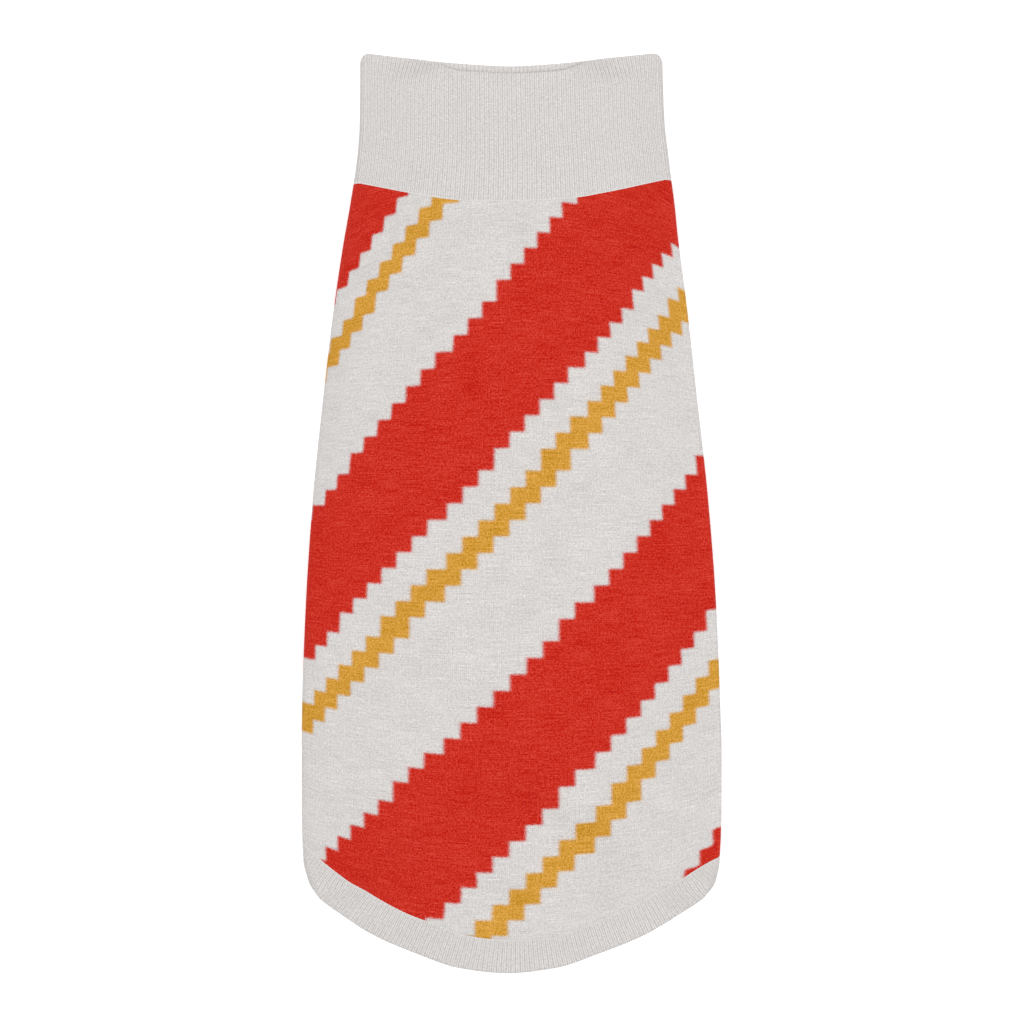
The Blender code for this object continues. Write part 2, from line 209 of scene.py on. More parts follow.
print("cloth round the hem:", round(2 * HEM_GIRTH), "mm")

# %% The step down past the belly's hem
STEP_START = 4.0
STEP_LENGTH = 24.0
corner_shares = np.linspace(3.0, HEM_CORNER_SHARE, HEM_EDGE_STEPS + 1)
edge_girths, edge_ys = hem_edge(corner_shares)
edge_shares = hem_share(edge_girths)
edge_turns = math.pi * (np.minimum(edge_shares, 2.0) - 1)
edge_xs = np.where(
    edge_shares >= 2,
    (3 - edge_shares) * flat_half(edge_ys),
    flat_half(edge_ys) + FOLD_RADIUS * np.sin(edge_turns),
)


def past_belly_hem(x, y):
    """How far a place on the back lies past the belly's hem edge, square to that edge."""
    x = np.minimum(np.abs(x), edge_xs[-1])
    i = np.searchsorted(np.maximum.accumulate(edge_xs)[1:], x)
    run, rise = np.diff(edge_xs)[i], np.diff(edge_ys)[i]
    line_y = edge_ys[i] + rise * (x - edge_xs[i]) / run
    return (line_y - y) * run / np.hypot(run, rise)


def under_back(x, y):
    """Height of the back's inner face: on the lower layer, then down to the table."""
    puff = ease((np.abs(x) - flat_half(y) + FOLD_PUFF) / FOLD_PUFF)
    lying = WALL + GAP_MIDDLE + (GAP_FOLD - GAP_MIDDLE) * puff
    return lying * (1 - ease((past_belly_hem(x, y) - STEP_START) / STEP_LENGTH))


print("back's tail drops over", STEP_LENGTH, "mm past the belly's hem")

# %% [markdown]
# ## Soft swells
# Knitted cloth never lies quite flat: the upper layer keeps low swells where it was folded away.
# They are listed one by one, each a long soft ridge under half a millimetre high, and they belong to
# the map, so they run through the seams. A cloth simulation would give folds of its own choice.

# %% Swells in the upper layer
Swell = namedtuple("Swell", "x y turn half_length half_width height")
SWELLS = (
    Swell(x=-52.0, y=96.0, turn=78.0, half_length=70.0, half_width=17.0, height=0.30),
    Swell(x=38.0, y=52.0, turn=104.0, half_length=84.0, half_width=20.0, height=0.26),
    Swell(x=-18.0, y=-34.0, turn=64.0, half_length=92.0, half_width=22.0, height=0.32),
    Swell(x=66.0, y=-88.0, turn=96.0, half_length=66.0, half_width=18.0, height=0.28),
    Swell(x=-64.0, y=-118.0, turn=84.0, half_length=60.0, half_width=16.0, height=0.30),
    Swell(x=12.0, y=-158.0, turn=22.0, half_length=64.0, half_width=18.0, height=0.24),
    Swell(x=8.0, y=186.0, turn=8.0, half_length=58.0, half_width=15.0, height=0.22),
)


def swell_height(x, y):
    total = np.zeros(np.broadcast(x, y).shape)
    for swell in SWELLS:
        turn = math.radians(swell.turn)
        along = (x - swell.x) * math.cos(turn) + (y - swell.y) * math.sin(turn)
        aside = (y - swell.y) * math.cos(turn) - (x - swell.x) * math.sin(turn)
        reach = np.hypot(along / swell.half_length, aside / swell.half_width)
        total += swell.height * ease(1 - reach)
    return total


print("swells:", len(SWELLS))


# %% The map itself
def across(share, y):
    """Distance from the garment's middle: along the back, at the fold's start, or along the belly."""
    reach = np.abs(share)
    return np.sign(share) * np.clip(np.minimum(reach, 3 - reach), 0.0, 1.0) * flat_half(y)


def cloth_points(share, y, depth):
    """Points of the tube at a girth share and a Y, sunk into the wall by depth."""
    offset = across(share, y)
    outer = (under_back(offset, y) + WALL) / 2
    radius = outer - depth
    turn = math.pi * np.clip(np.abs(share) - 1, 0.0, 1.0)
    x = middle(y) + offset + np.sign(share) * radius * np.sin(turn)
    lift = swell_height(middle(y) + offset, y) * (1 + np.cos(turn)) / 2
    z = outer + radius * np.cos(turn) + lift
    return np.stack(np.broadcast_arrays(x, y, z), axis=-1)


print("top of the cloth:", round(float(cloth_points(0.0, 0.0, 0.0)[2]), 2), "mm")

# %% [markdown]
# ## Shells of cloth
# Real knit has two faces and soft edges, so every piece is a closed shell: an outer and an inner grid
# of points, joined round the borders. A border is rounded over a quarter circle, so seams read as
# fine grooves and free edges as soft lips. A Solidify modifier could give the wall, but it would not
# know that the lower face has to stay flat on the table.

# %% Rounded borders
QUARTER_STEPS = 4
quarter_turns = np.radians(90.0) * (1 - np.arange(QUARTER_STEPS + 1) / QUARTER_STEPS)
quarter_reach = 1 - np.sin(quarter_turns)
quarter_sink = 1 - np.cos(quarter_turns)
SEAM_ROUND = 0.3
EDGE_ROUND = 0.95


def spread(length, start_round, end_round, count):
    """Distances from a border to the opposite one, close together over both rounded borders."""
    length = np.atleast_1d(length).reshape(-1, 1)
    start_round = np.broadcast_to(start_round, length.shape)
    end_round = np.broadcast_to(end_round, length.shape)
    inner = np.linspace(0.0, 1.0, count + 1)[1:-1]
    near = start_round * quarter_reach
    between = start_round + (length - start_round - end_round) * inner
    far = length - end_round * quarter_reach[::-1]
    return np.hstack((near, between, far))


def border_sink(start_round, end_round, count):
    """How deep each of those lines sinks below the face."""
    level = np.zeros(count - 1)
    return np.concatenate((start_round * quarter_sink, level, end_round * quarter_sink[::-1]))


def corner_sink(rows, columns, radius):
    """Depth over a panel whose four borders are all rounded alike."""
    short_row = np.sqrt(radius**2 - (radius - rows) ** 2)
    short_column = np.sqrt(radius**2 - (radius - columns) ** 2)
    level = radius**2 - short_row[None, :] ** 2 - short_column[:, None] ** 2
    return radius - np.sqrt(np.maximum(level, 0.0))


# %% From two grids to a mesh
KNIT_MAP = "knit"


def grid_faces(columns, rows, first, closed):
    """Corners of a grid's faces, as vertex numbers and as places in the unwrapped grid."""
    last = columns if closed else columns - 1
    i, j = (line.ravel() for line in np.meshgrid(np.arange(last), np.arange(rows - 1), indexing="ij"))
    places = np.array(((i, j), (i + 1, j), (i + 1, j + 1), (i, j + 1)))
    corners = first + (places[:, 0] % columns) * rows + places[:, 1]
    return corners.T, places.transpose(2, 0, 1)


def border_faces(columns, rows, closed):
    """Faces that join the outer grid to the inner one round its borders."""
    inner = columns * rows
    faces, places = [], []
    for i in range(columns if closed else columns - 1):
        k = (i + 1) % columns
        for j in (0, rows - 1):
            faces.append((i * rows + j, k * rows + j, inner + k * rows + j, inner + i * rows + j))
            places.append(((i, j), (i + 1, j), (i + 1, j), (i, j)))
    if not closed:
        for i in (0, columns - 1):
            for j in range(rows - 1):
                here, there = i * rows + j, i * rows + j + 1
                faces.append((here, there, inner + there, inner + here))
                places.append(((i, j), (i, j + 1), (i, j + 1), (i, j)))
    return np.array(faces), np.array(places)


def make_shell(name, outer, inner, stitches, closed):
    """Closed shell of cloth. stitches holds the place in the knit, for one more line where it is closed."""
    columns, rows = outer.shape[:2]
    outer_faces, outer_places = grid_faces(columns, rows, 0, closed)
    inner_faces, inner_places = grid_faces(columns, rows, columns * rows, closed)
    side_faces, side_places = border_faces(columns, rows, closed)
    faces = np.vstack((outer_faces, side_faces, inner_faces))
    places = np.vstack((outer_places, side_places, inner_places))
    mesh = bpy.data.meshes.new(name)
    points = np.vstack((outer.reshape(-1, 3), inner.reshape(-1, 3))) * MM
    mesh.from_pydata(points.tolist(), [], faces.tolist())
    knit = mesh.uv_layers.new(name=KNIT_MAP)
    corner_places = places.reshape(-1, 2)
    values = stitches[corner_places[:, 0], corner_places[:, 1]]
    knit.data.foreach_set("uv", values.astype(np.float32).ravel())
    inside = np.arange(len(faces)) >= len(outer_faces) + len(side_faces)
    mesh.polygons.foreach_set("material_index", inside.astype(np.int32))
    face_outwards(mesh)
    piece = bpy.data.objects.new(name, mesh)
    bpy.context.scene.collection.objects.link(piece)
    return piece


def face_outwards(mesh):
    work = bmesh.new()
    work.from_mesh(mesh)
    bmesh.ops.recalc_face_normals(work, faces=work.faces)
    work.to_mesh(mesh)
    work.free()


def smooth(piece, angle):
    """Smooth shading, but crisp where two faces meet at more than the angle, in degrees."""
    bpy.ops.object.select_all(action="DESELECT")
    piece.select_set(True)
    bpy.context.view_layer.objects.active = piece
    bpy.ops.object.shade_smooth_by_angle(angle=math.radians(angle))


def cloth_area(points, closed=False):
    """Area of a grid of cloth in square metres, with the ribs left out of its points."""
    if closed:
        points = np.concatenate((points, points[:1]))
    a, b = points[1:, 1:] - points[:-1, :-1], points[1:, :-1] - points[:-1, 1:]
    return float(np.linalg.norm(np.cross(a, b), axis=-1).sum() / 2) * MM * MM


def longest_line(points, axis, closed=False):
    """Longest line of a grid along one of its axes, in metres."""
    if closed:
        points = np.concatenate((points, points[:1]))
    return float(np.linalg.norm(np.diff(points, axis=axis), axis=-1).sum(axis=axis).max()) * MM


def tell_cut(piece, flat):
    print(piece.name + ":", len(piece.data.polygons), "faces, cut", [round(v / MM) for v in flat], "mm")


def measure_cut(piece, face, closed=False):
    """Flat area and flat size of a piece, from the points of its outer face before it is laid."""
    flat = (longest_line(face, 0, closed), longest_line(face, 1))
    tell_cut(piece, flat)
    return cloth_area(face, closed), flat


# %% [markdown]
# ## Seams and the place in the knit
# A line of cloth ends where it meets a seam. The seam's Y depends on the line's place, which depends
# on the Y, so the meeting is found in a few rounds. The stitches are counted too: each point gets its
# column and its row in the knit as a UV map, and the stripes and the stitches later read that map.
# Columns stand closer towards the folds and rows bow a little, as on cloth that was pulled straight,
# and near the hem the knit is pulled down in one spot and sags in the lower right corner.

# %% Where a line meets a seam
MEETING_TRIES = 12
CollarPlace = namedtuple("CollarPlace", "x y")
COLLAR_SEAM = (
    CollarPlace(x=0.0, y=156.4),
    CollarPlace(x=20.0, y=156.8),
    CollarPlace(x=34.0, y=158.1),
    CollarPlace(x=44.0, y=159.8),
    CollarPlace(x=54.0, y=161.65),
    CollarPlace(x=64.0, y=163.7),
    CollarPlace(x=74.0, y=165.7),
    CollarPlace(x=90.0, y=168.7),
)
COLLAR_SEAM_TILT = 0.0125
THROAT_SEAM_DROP = 10.0
THROAT_HALF_WIDTH = 80.0
THROAT_POWER = 2.2


def collar_seam(share, y):
    """Y of the seam between collar and body: a shallow curve, deeper under the throat."""
    x = across(share, y)
    level = smooth_curve(COLLAR_SEAM, "x", "y", np.abs(x), level_ends=False)
    throat = ease(np.abs(share) - 1) * (1 - np.abs(x / THROAT_HALF_WIDTH) ** THROAT_POWER)
    return level - THROAT_SEAM_DROP * throat + COLLAR_SEAM_TILT * x


def meet(place, seam, count):
    """Y where each line of cloth meets a seam. place gives the lines' girth shares at their Y."""
    y = np.zeros((count, 1))
    for _ in range(MEETING_TRIES):
        y = seam(place(y), y)
    return y


print("neck seam under the throat at Y", COLLAR_SEAM[0].y - THROAT_SEAM_DROP, "mm")

# %% Columns and rows of the knit
HALF_COLUMNS = 57.5
KNIT_MIDDLE_X = -0.92
KNIT_LEAN = 0.2
COLUMN_TAPER = 0.004
COLUMN_SPREAD = 0.144
RIGHT_SLACK = 2.0
RIGHT_SLACK_POWER = 10
LEFT_SLACK = 0.95
LEFT_SLACK_RISE = 0.8
LEFT_SLACK_POWER = 8
ROW_ORIGIN_Y = 31.65
ROW_HEIGHT = 1.3586
ROW_PHASE = 0.2
ROW_SWELL = 2.6
ROW_DRIFT = 0.32
ROW_SWELL_MIDDLE = -17.7
ROW_SWELL_REACH = 170.0
BOW_MIDDLE = -3.0
BOW_LEFT = 0.11
BOW_RIGHT = 0.10
RIGHT_PULL = 2.0
RIGHT_PULL_POWER = 8
UNDER_COLUMN_WIDTH = 1.83
CUBIC_TRIES = 6
PULL_Y = -206.0
PULL_WIDTH = 0.21
PULL_LENGTH = 13.0
PULL_DOWN = 2.0
PULL_DOWN_PLACE = -0.4
PULL_ASIDE = 1.0
PULL_ASIDE_PLACE = -0.22
CORNER_PLACE = 0.95
CORNER_WIDTH = 0.33
CORNER_Y = -185.0
CORNER_LENGTH = 32.0
CORNER_DROP = 2.7
CORNER_SLACK = 1.7


def swell_reach(y):
    """How far along the garment a place lies, about -1 at the hem and 1 at the collar."""
    return (y - ROW_SWELL_MIDDLE) / ROW_SWELL_REACH


def column_place(x, y):
    """Place of a point on the back between the folds, from -1 to 1, with columns closer at the folds."""
    reach = swell_reach(y)
    width = (flat_half(y) + FOLD_RADIUS) * (1 + COLUMN_TAPER * reach)
    wanted = np.clip((x - KNIT_MIDDLE_X - KNIT_LEAN * reach) / width, -1.0, 1.0)
    place = wanted
    for _ in range(CUBIC_TRIES):
        error = (1 + COLUMN_SPREAD) * place - COLUMN_SPREAD * place**3 - wanted
        place = place - error / (1 + COLUMN_SPREAD - 3 * COLUMN_SPREAD * place**2)
    return place


def hem_pull(place, y, spot):
    """Share of the pull on the knit round one spot of the hem seam."""
    return np.exp(-(((place - spot) / PULL_WIDTH) ** 2) - ((y - PULL_Y) / PULL_LENGTH) ** 2)


def corner_sag(place, y):
    """Share of the sag of the knit towards the lower right corner."""
    return np.exp(-(((place - CORNER_PLACE) / CORNER_WIDTH) ** 2) - ((y - CORNER_Y) / CORNER_LENGTH) ** 2)


def knit_row(y, place):
    """Row of the knit, counted towards the hem."""
    reach = swell_reach(y)
    pulled = y - ROW_SWELL * (reach - reach**3) - ROW_DRIFT * reach**2
    bow = np.where(place < 0, BOW_LEFT, BOW_RIGHT) * place**2
    level = BOW_MIDDLE + (pulled - BOW_MIDDLE) / (1 - bow)
    level = level + RIGHT_PULL * np.maximum(reach, 0.0) ** 2 * np.maximum(place, 0.0) ** RIGHT_PULL_POWER
    level = level + PULL_DOWN * hem_pull(place, y, PULL_DOWN_PLACE)
    level = level + CORNER_DROP * corner_sag(place, y)
    return (ROW_ORIGIN_Y - level) / ROW_HEIGHT + ROW_PHASE


def back_stitches(share, y):
    """Column and row of the knit on the back panel, which goes on round the folds."""
    reach = np.abs(share)
    side = np.sign(share)
    offset = across(share, y)
    outer = (under_back(offset, y) + WALL) / 2
    front_turn = math.pi * np.clip(reach - 1, 0.0, 0.5)
    place = column_place(middle(y) + offset + side * outer * np.sin(front_turn), y)
    fold_place = column_place(middle(y) + side * (flat_half(y) + outer), y)
    place = np.where(reach > FOLD_MIDDLE_SHARE, fold_place, place)
    past_fold = np.clip(reach - FOLD_MIDDLE_SHARE, 0.0, 0.5) * math.pi * outer
    past = past_fold + np.clip(reach - 2, 0.0, 1.0) * flat_half(y)
    right_slack = RIGHT_SLACK * np.maximum(place, 0.0) ** RIGHT_SLACK_POWER
    slack = right_slack + CORNER_SLACK * corner_sag(place, y)
    left_slack = LEFT_SLACK * (1 + LEFT_SLACK_RISE * swell_reach(y))
    slack = slack + left_slack * np.maximum(-place, 0.0) ** LEFT_SLACK_POWER
    pulled = PULL_ASIDE * hem_pull(place, y, PULL_ASIDE_PLACE)
    column = HALF_COLUMNS * place - slack + pulled + side * past / UNDER_COLUMN_WIDTH
    return np.stack(np.broadcast_arrays(column, knit_row(y, place)), axis=-1)


print("columns across the back:", int(2 * HALF_COLUMNS))

# %% [markdown]
# ## The back panel
# The back is the largest piece: it covers the whole upper face, turns round both folds and ends at
# the two seams underneath. Its lines run from the collar's seam to the hem's. Near the side seams
# they follow the seam, elsewhere they keep their share of the girth.

# %% Lines of the back panel
TILT_STEP = 0.01
FLAP_LINES = 9
FOLD_LINES = 12
BACK_LINES = 108
BACK_ROWS = 112


def flap_share(side, offset, part, y):
    """Line on the underside, an offset away from the side seam and then part of the way to the fold."""
    seam_reach = 3 - (belly_half(y) + SEAM_GAP / 2) / flat_half(y)
    width = (seam_reach - 2) * flat_half(y)
    return side * (seam_reach - (offset + part * (width - offset)) / flat_half(y))


flap_parts = np.linspace(0.0, 1.0, FLAP_LINES + 1)[1:-1]
flap_offsets = np.concatenate((SEAM_ROUND * quarter_reach, np.full(len(flap_parts), SEAM_ROUND)))
flap_parts = np.concatenate((np.zeros(len(quarter_reach)), flap_parts))
fold_shares = np.linspace(1.0, 2.0, FOLD_LINES + 1)
right_shares = np.concatenate((np.linspace(0.0, 1.0, BACK_LINES // 2 + 1)[1:], fold_shares[1:]))
fixed_shares = np.concatenate((-right_shares[::-1], [0.0], right_shares))
flap_count = len(flap_offsets)
back_count = 2 * flap_count + len(fixed_shares)


def back_place(y):
    """Girth share of every line of the back panel at its Y."""
    left = flap_share(-1.0, flap_offsets[:, None], flap_parts[:, None], y[:flap_count])
    right = flap_share(1.0, flap_offsets[::-1, None], flap_parts[::-1, None], y[-flap_count:])
    fixed = np.broadcast_to(fixed_shares[:, None], y[flap_count:-flap_count].shape)
    return np.vstack((left, fixed, right))


def panel_grid(place, count, rows):
    """Y and girth share over a panel, from the collar's seam to the hem's."""
    top = meet(place, collar_seam, count) - SEAM_GAP / 2
    low = meet(place, lambda share, y: hem_seam(share), count)
    share = place(low)
    rise = hem_seam(share + TILT_STEP) - hem_seam(share - TILT_STEP)
    in_fold = (np.abs(share) > 1) & (np.abs(share) < 2)
    slant = np.hypot(1.0, np.where(in_fold, 0.0, rise / (2 * TILT_STEP * flat_half(low))))
    low = low + SEAM_GAP * slant
    ys = top - spread(top - low, SEAM_ROUND, SEAM_ROUND * slant, rows)
    return place(ys), ys


print("the back panel has", back_count, "lines")

# %% Make the back panel
back_shares, back_ys = panel_grid(back_place, back_count, BACK_ROWS)
side_border = np.concatenate((SEAM_ROUND * quarter_sink, np.zeros(len(flap_parts) - len(quarter_sink))))
back_columns_sink = np.concatenate((side_border, np.zeros(len(fixed_shares)), side_border[::-1]))
back_rows_sink = border_sink(SEAM_ROUND, SEAM_ROUND, BACK_ROWS)
back_sink = corner_sink(back_rows_sink, back_columns_sink, SEAM_ROUND)
back_panel = make_shell(
    "back_panel_knit",
    cloth_points(back_shares, back_ys, back_sink),
    cloth_points(back_shares, back_ys, WALL - back_sink),
    back_stitches(back_shares, back_ys),
    closed=False,
)
back_area, back_flat = measure_cut(back_panel, cloth_points(back_shares, back_ys, 0.0))

# %% [markdown]
# ## The belly panel
# The belly is the narrow piece between the two seams underneath. It lies flat on the table. It is
# knitted like the back, counted from its own middle, so the stripes break at the side seams, as they
# do on sewn knitwear.

# %% Make the belly panel
BELLY_LINES = 40
BELLY_ROWS = 84

belly_steps = np.linspace(-1.0, 1.0, BELLY_LINES + 1)[1:-1]
belly_border = np.ones(QUARTER_STEPS + 1)
belly_parts = np.concatenate((-belly_border, belly_steps, belly_border))
border_reach = SEAM_ROUND * (1 - quarter_reach)
belly_reach = np.concatenate((border_reach, np.zeros(len(belly_steps)), border_reach[::-1]))


def belly_x(y):
    """Distance of every line of the belly panel from its middle."""
    half = belly_half(y) - SEAM_GAP / 2 - SEAM_ROUND
    return belly_parts[:, None] * half + np.sign(belly_parts[:, None]) * belly_reach[:, None]


def belly_place(y):
    x = belly_x(y)
    return np.copysign(3 - np.abs(x) / flat_half(y), x)


belly_shares, belly_ys = panel_grid(belly_place, len(belly_parts), BELLY_ROWS)
belly_rows_sink = border_sink(SEAM_ROUND, SEAM_ROUND, BELLY_ROWS)
belly_columns_sink = border_sink(SEAM_ROUND, SEAM_ROUND, BELLY_LINES)
belly_sink = corner_sink(belly_rows_sink, belly_columns_sink, SEAM_ROUND)
belly_column = -belly_x(belly_ys) / UNDER_COLUMN_WIDTH
belly_row = (ROW_ORIGIN_Y - belly_ys) / ROW_HEIGHT + ROW_PHASE
belly_panel = make_shell(
    "belly_panel_knit",
    cloth_points(belly_shares, belly_ys, belly_sink),
    cloth_points(belly_shares, belly_ys, WALL - belly_sink),
    np.stack((belly_column, belly_row), axis=-1),
    closed=False,
)
belly_area, belly_flat = measure_cut(belly_panel, cloth_points(belly_shares, belly_ys, 0.0))

# %% [markdown]
# ## Leg holes
# The side seams run through the leg holes, so both panels lose half of each oval. The oval is cut
# with a Boolean from a flattened cylinder that reaches through the lower layer only. Bending the
# grid round the hole would also work, but it would drag the rows of the knit out of line.

# %% Cut the leg holes
LEG_X = 46.0
LEG_Y = 102.0
LEG_HOLE_HALF_WIDTH = 20.0
LEG_HOLE_HALF_LENGTH = 26.0
LEG_BAND = 12.0
LEG_CUT_CORNERS = 132
PANEL_SMOOTH_ANGLE = 50.0
leg_middles = {side: float(middle(LEG_Y)) + side * LEG_X for side in (-1, 1)}


def cut_leg_hole(side, panels):
    bpy.ops.object.select_all(action="DESELECT")
    bpy.ops.mesh.primitive_cylinder_add(
        vertices=LEG_CUT_CORNERS,
        radius=(LEG_HOLE_HALF_WIDTH + LEG_BAND) * MM,
        depth=2 * (WALL + GAP_MIDDLE / 2) * MM,
        location=(leg_middles[side] * MM, LEG_Y * MM, 0.0),
    )
    cutter = bpy.context.object
    bpy.ops.object.mode_set(mode="EDIT")
    long_way = (LEG_HOLE_HALF_LENGTH + LEG_BAND) / (LEG_HOLE_HALF_WIDTH + LEG_BAND)
    bpy.ops.transform.resize(value=(1.0, long_way, 1.0))
    bpy.ops.object.mode_set(mode="OBJECT")
    for panel in panels:
        bpy.context.view_layer.objects.active = panel
        hole = panel.modifiers.new("leg_hole", "BOOLEAN")
        hole.operation = "DIFFERENCE"
        hole.solver = "EXACT"
        hole.object = cutter
        bpy.ops.object.modifier_apply(modifier=hole.name)
    bpy.data.objects.remove(cutter)


for side in (-1, 1):
    cut_leg_hole(side, (back_panel, belly_panel))
for panel in (back_panel, belly_panel):
    smooth(panel, PANEL_SMOOTH_ANGLE)
    print(panel.name, "after the leg holes:", len(panel.data.polygons), "faces")

# %% [markdown]
# ## Ribs
# The collar and the bands are knitted in rib: a column of stitches stands up, the next one sinks in.
# The two legs of each standing stitch show as two ridges with a shallower groove between them. The
# ribs are real relief, a few lines of the shell to each rib, because their outline shows along the
# edges. Bump alone would leave the edges smooth.

# %% Profile of one rib
RIB_LINES = 6
RIB_DEPTH = 0.3
RIB_INSIDE_DEPTH = 0.3
RIB_BORDER_FADE = 0.6
RIB_SMOOTH_ANGLE = 80.0
rib_profile = np.array([1.0, 0.25, 0.0, 0.72, 0.0, 0.25])
groove_profile = np.array([1.0, 0.25, 0.0, 0.0, 0.0, 0.25])


def rib_depths(lines, first_groove, start_round, end_round, count, opening=0.0):
    """Depth of the outer and the inner face of a ribbed tube. The inside is sunk under the ridges.

    opening is the share by which the grooves between ribs are pulled deeper.
    """
    step = np.arange(lines)[:, None] - first_groove
    sink = border_sink(start_round, end_round, count)[None, :]
    fade = 1 - RIB_BORDER_FADE * border_sink(1.0, 1.0, count)[None, :]
    profile = rib_profile[step % RIB_LINES] + opening * groove_profile[step % RIB_LINES]
    outer = RIB_DEPTH * profile * fade + sink
    inner = RIB_INSIDE_DEPTH * rib_profile[(step + RIB_LINES // 2) % RIB_LINES] * fade + sink
    return outer, inner


def rib_map(lines, first_groove, rows):
    """Rib number and row of each line, for the knit's map: a rib runs from groove to groove."""
    ribs = (np.arange(lines + 1) - first_groove) / RIB_LINES
    rows = np.vstack((rows, rows[:1]))
    return np.stack(np.broadcast_arrays(ribs[:, None], rows), axis=-1)


print("a rib has", RIB_LINES, "lines and is", RIB_DEPTH, "mm deep")

# %% [markdown]
# ## The collar
# The collar is one tube of fine rib, seen from its upper layer. Its free edge sags in the middle and
# rises a little to the right of it. In the middle the upper layer sags more than the lower one, so the
# inside of the far layer shows above it. Near both top corners the ribs lean, and open deeper where
# they lean most, because the neck was stretched there.

# %% Lines of the collar
COLLAR_DIP = 6.05
COLLAR_DIP_POWER = 1.45
COLLAR_CORNER = 4.0
NECK_SLOT = 3.7
NECK_SLOT_MIDDLE = -0.5
NECK_SLOT_HALF = 24.0
NECK_SLOT_ENDS = 20.0
TOP_RISE = 0.5
TOP_RISE_X = 48.0
TOP_RISE_REACH = 24.0
COLLAR_RIBS = 71
COLLAR_FOLD_RIBS = 4
WALE_SPREAD = 0.12
COLLAR_ROWS = 16
RIB_ROW_HEIGHT = 1.45
COLLAR_LEAN = 3.8
COLLAR_OPENING = 1.4
LEAN_MIDDLE = 0.69
LEAN_REACH = 0.31
LEAN_START_Y = 214.0


def collar_edge(share, y):
    """Y of the collar's free edge: a soft dip with round corners, lower on the back."""
    reach = np.abs(share)
    half_width = OUTLINE[-1].half_width
    corner_x = half_width - COLLAR_CORNER
    turn = math.pi * np.clip(reach - 1, 0.0, 1.0)
    offset = across(share, y)
    x = np.abs(offset) + FOLD_RADIUS * np.sin(turn)
    past = np.clip(x - corner_x, 0.0, COLLAR_CORNER)
    dip = COLLAR_DIP * (1 - np.minimum(x / corner_x, 1.0) ** COLLAR_DIP_POWER)
    rise = TOP_RISE * np.exp(-(((offset - TOP_RISE_X) / TOP_RISE_REACH) ** 2))
    slot = 1 - ease((np.abs(offset - NECK_SLOT_MIDDLE) - NECK_SLOT_HALF) / NECK_SLOT_ENDS)
    corner = HALF_LENGTH - COLLAR_CORNER + np.sqrt(COLLAR_CORNER**2 - past**2)
    edge = np.minimum(HALF_LENGTH - dip + rise, HALF_LENGTH) - NECK_SLOT * slot * (1 - ease(reach - 1))
    return np.where(x > corner_x, corner, edge)


def wale_share(place):
    """Girth share of a knitted column on the back; columns stand closer near the folds."""
    return (1 + WALE_SPREAD) * place - WALE_SPREAD * place**3


def neck_stretch(share, y):
    """How near a rib is to the stretched spots, and how far up one it has come, both from 0 to 1."""
    window = np.maximum(0.0, 1 - ((np.abs(share) - LEAN_MIDDLE) / LEAN_REACH) ** 2) ** 2
    return window, ease((y - LEAN_START_Y) / (HALF_LENGTH - LEAN_START_Y))


def collar_share(share, y):
    """Girth share of a rib at its Y, with the lean near the top corners."""
    window, climb = neck_stretch(share, y)
    return share - np.sign(share) * COLLAR_LEAN * window * climb / flat_half(y)


print("ribs across each layer of the collar:", COLLAR_RIBS)

# %% Make the collar
right_upper = wale_share(np.arange(1, COLLAR_RIBS * RIB_LINES // 2 + 1) / (COLLAR_RIBS * RIB_LINES // 2))
right_fold = np.linspace(1.0, 2.0, COLLAR_FOLD_RIBS * RIB_LINES + 1)[1:]
right_lower = np.linspace(2.0, 3.0, COLLAR_RIBS * RIB_LINES // 2 + 1)[1:]
right_line = np.concatenate((right_upper, right_fold, right_lower))
collar_line = np.concatenate((-right_line[:-1][::-1], [0.0], right_line))[:, None]
collar_count = len(collar_line)
collar_groove = len(right_line) - 1


def collar_place(y):
    return collar_share(collar_line, y)


collar_low = meet(collar_place, collar_seam, collar_count) + SEAM_GAP / 2
collar_high = meet(collar_place, collar_edge, collar_count)
collar_up = spread(collar_high - collar_low, SEAM_ROUND, EDGE_ROUND, COLLAR_ROWS)
collar_ys = collar_low + collar_up
collar_shares = collar_place(collar_ys)
stretched, climbed = neck_stretch(collar_line, collar_ys)
collar_opening = COLLAR_OPENING * stretched * 4 * climbed * (1 - climbed)
collar_out, collar_in = rib_depths(
    collar_count, collar_groove, SEAM_ROUND, EDGE_ROUND, COLLAR_ROWS, collar_opening
)
collar = make_shell(
    "collar_knit",
    cloth_points(collar_shares, collar_ys, collar_out),
    cloth_points(collar_shares, collar_ys, WALL - collar_in),
    rib_map(collar_count, collar_groove, -collar_up / RIB_ROW_HEIGHT),
    closed=True,
)
smooth(collar, RIB_SMOOTH_ANGLE)
collar_area, collar_flat = measure_cut(collar, cloth_points(collar_shares, collar_ys, 0.0), closed=True)

# %% [markdown]
# ## The hem band
# One band of the same rib runs round the whole hem. Its ribs stand square to its edge, so they fan
# out round the two lower corners. They are spaced by their real distance along the seam.

# %% Lines of the hem band
HEM_RIBS = 108
HEM_FOLD_RIBS = 5
HEM_UNDER_RIBS = 55
HEM_ROWS = 7
HEM_MEASURE_STEPS = 800


def even_shares(start, end, count):
    """Girth shares along the hem's seam, the same distance apart on the cloth."""
    fine = np.linspace(start, end, HEM_MEASURE_STEPS + 1)
    x, y = across(fine, hem_seam(fine)), hem_seam(fine)
    run = np.concatenate(([0.0], np.cumsum(np.hypot(np.diff(x), np.diff(y)))))
    return np.interp(np.linspace(0.0, run[-1], count + 1), run, fine)


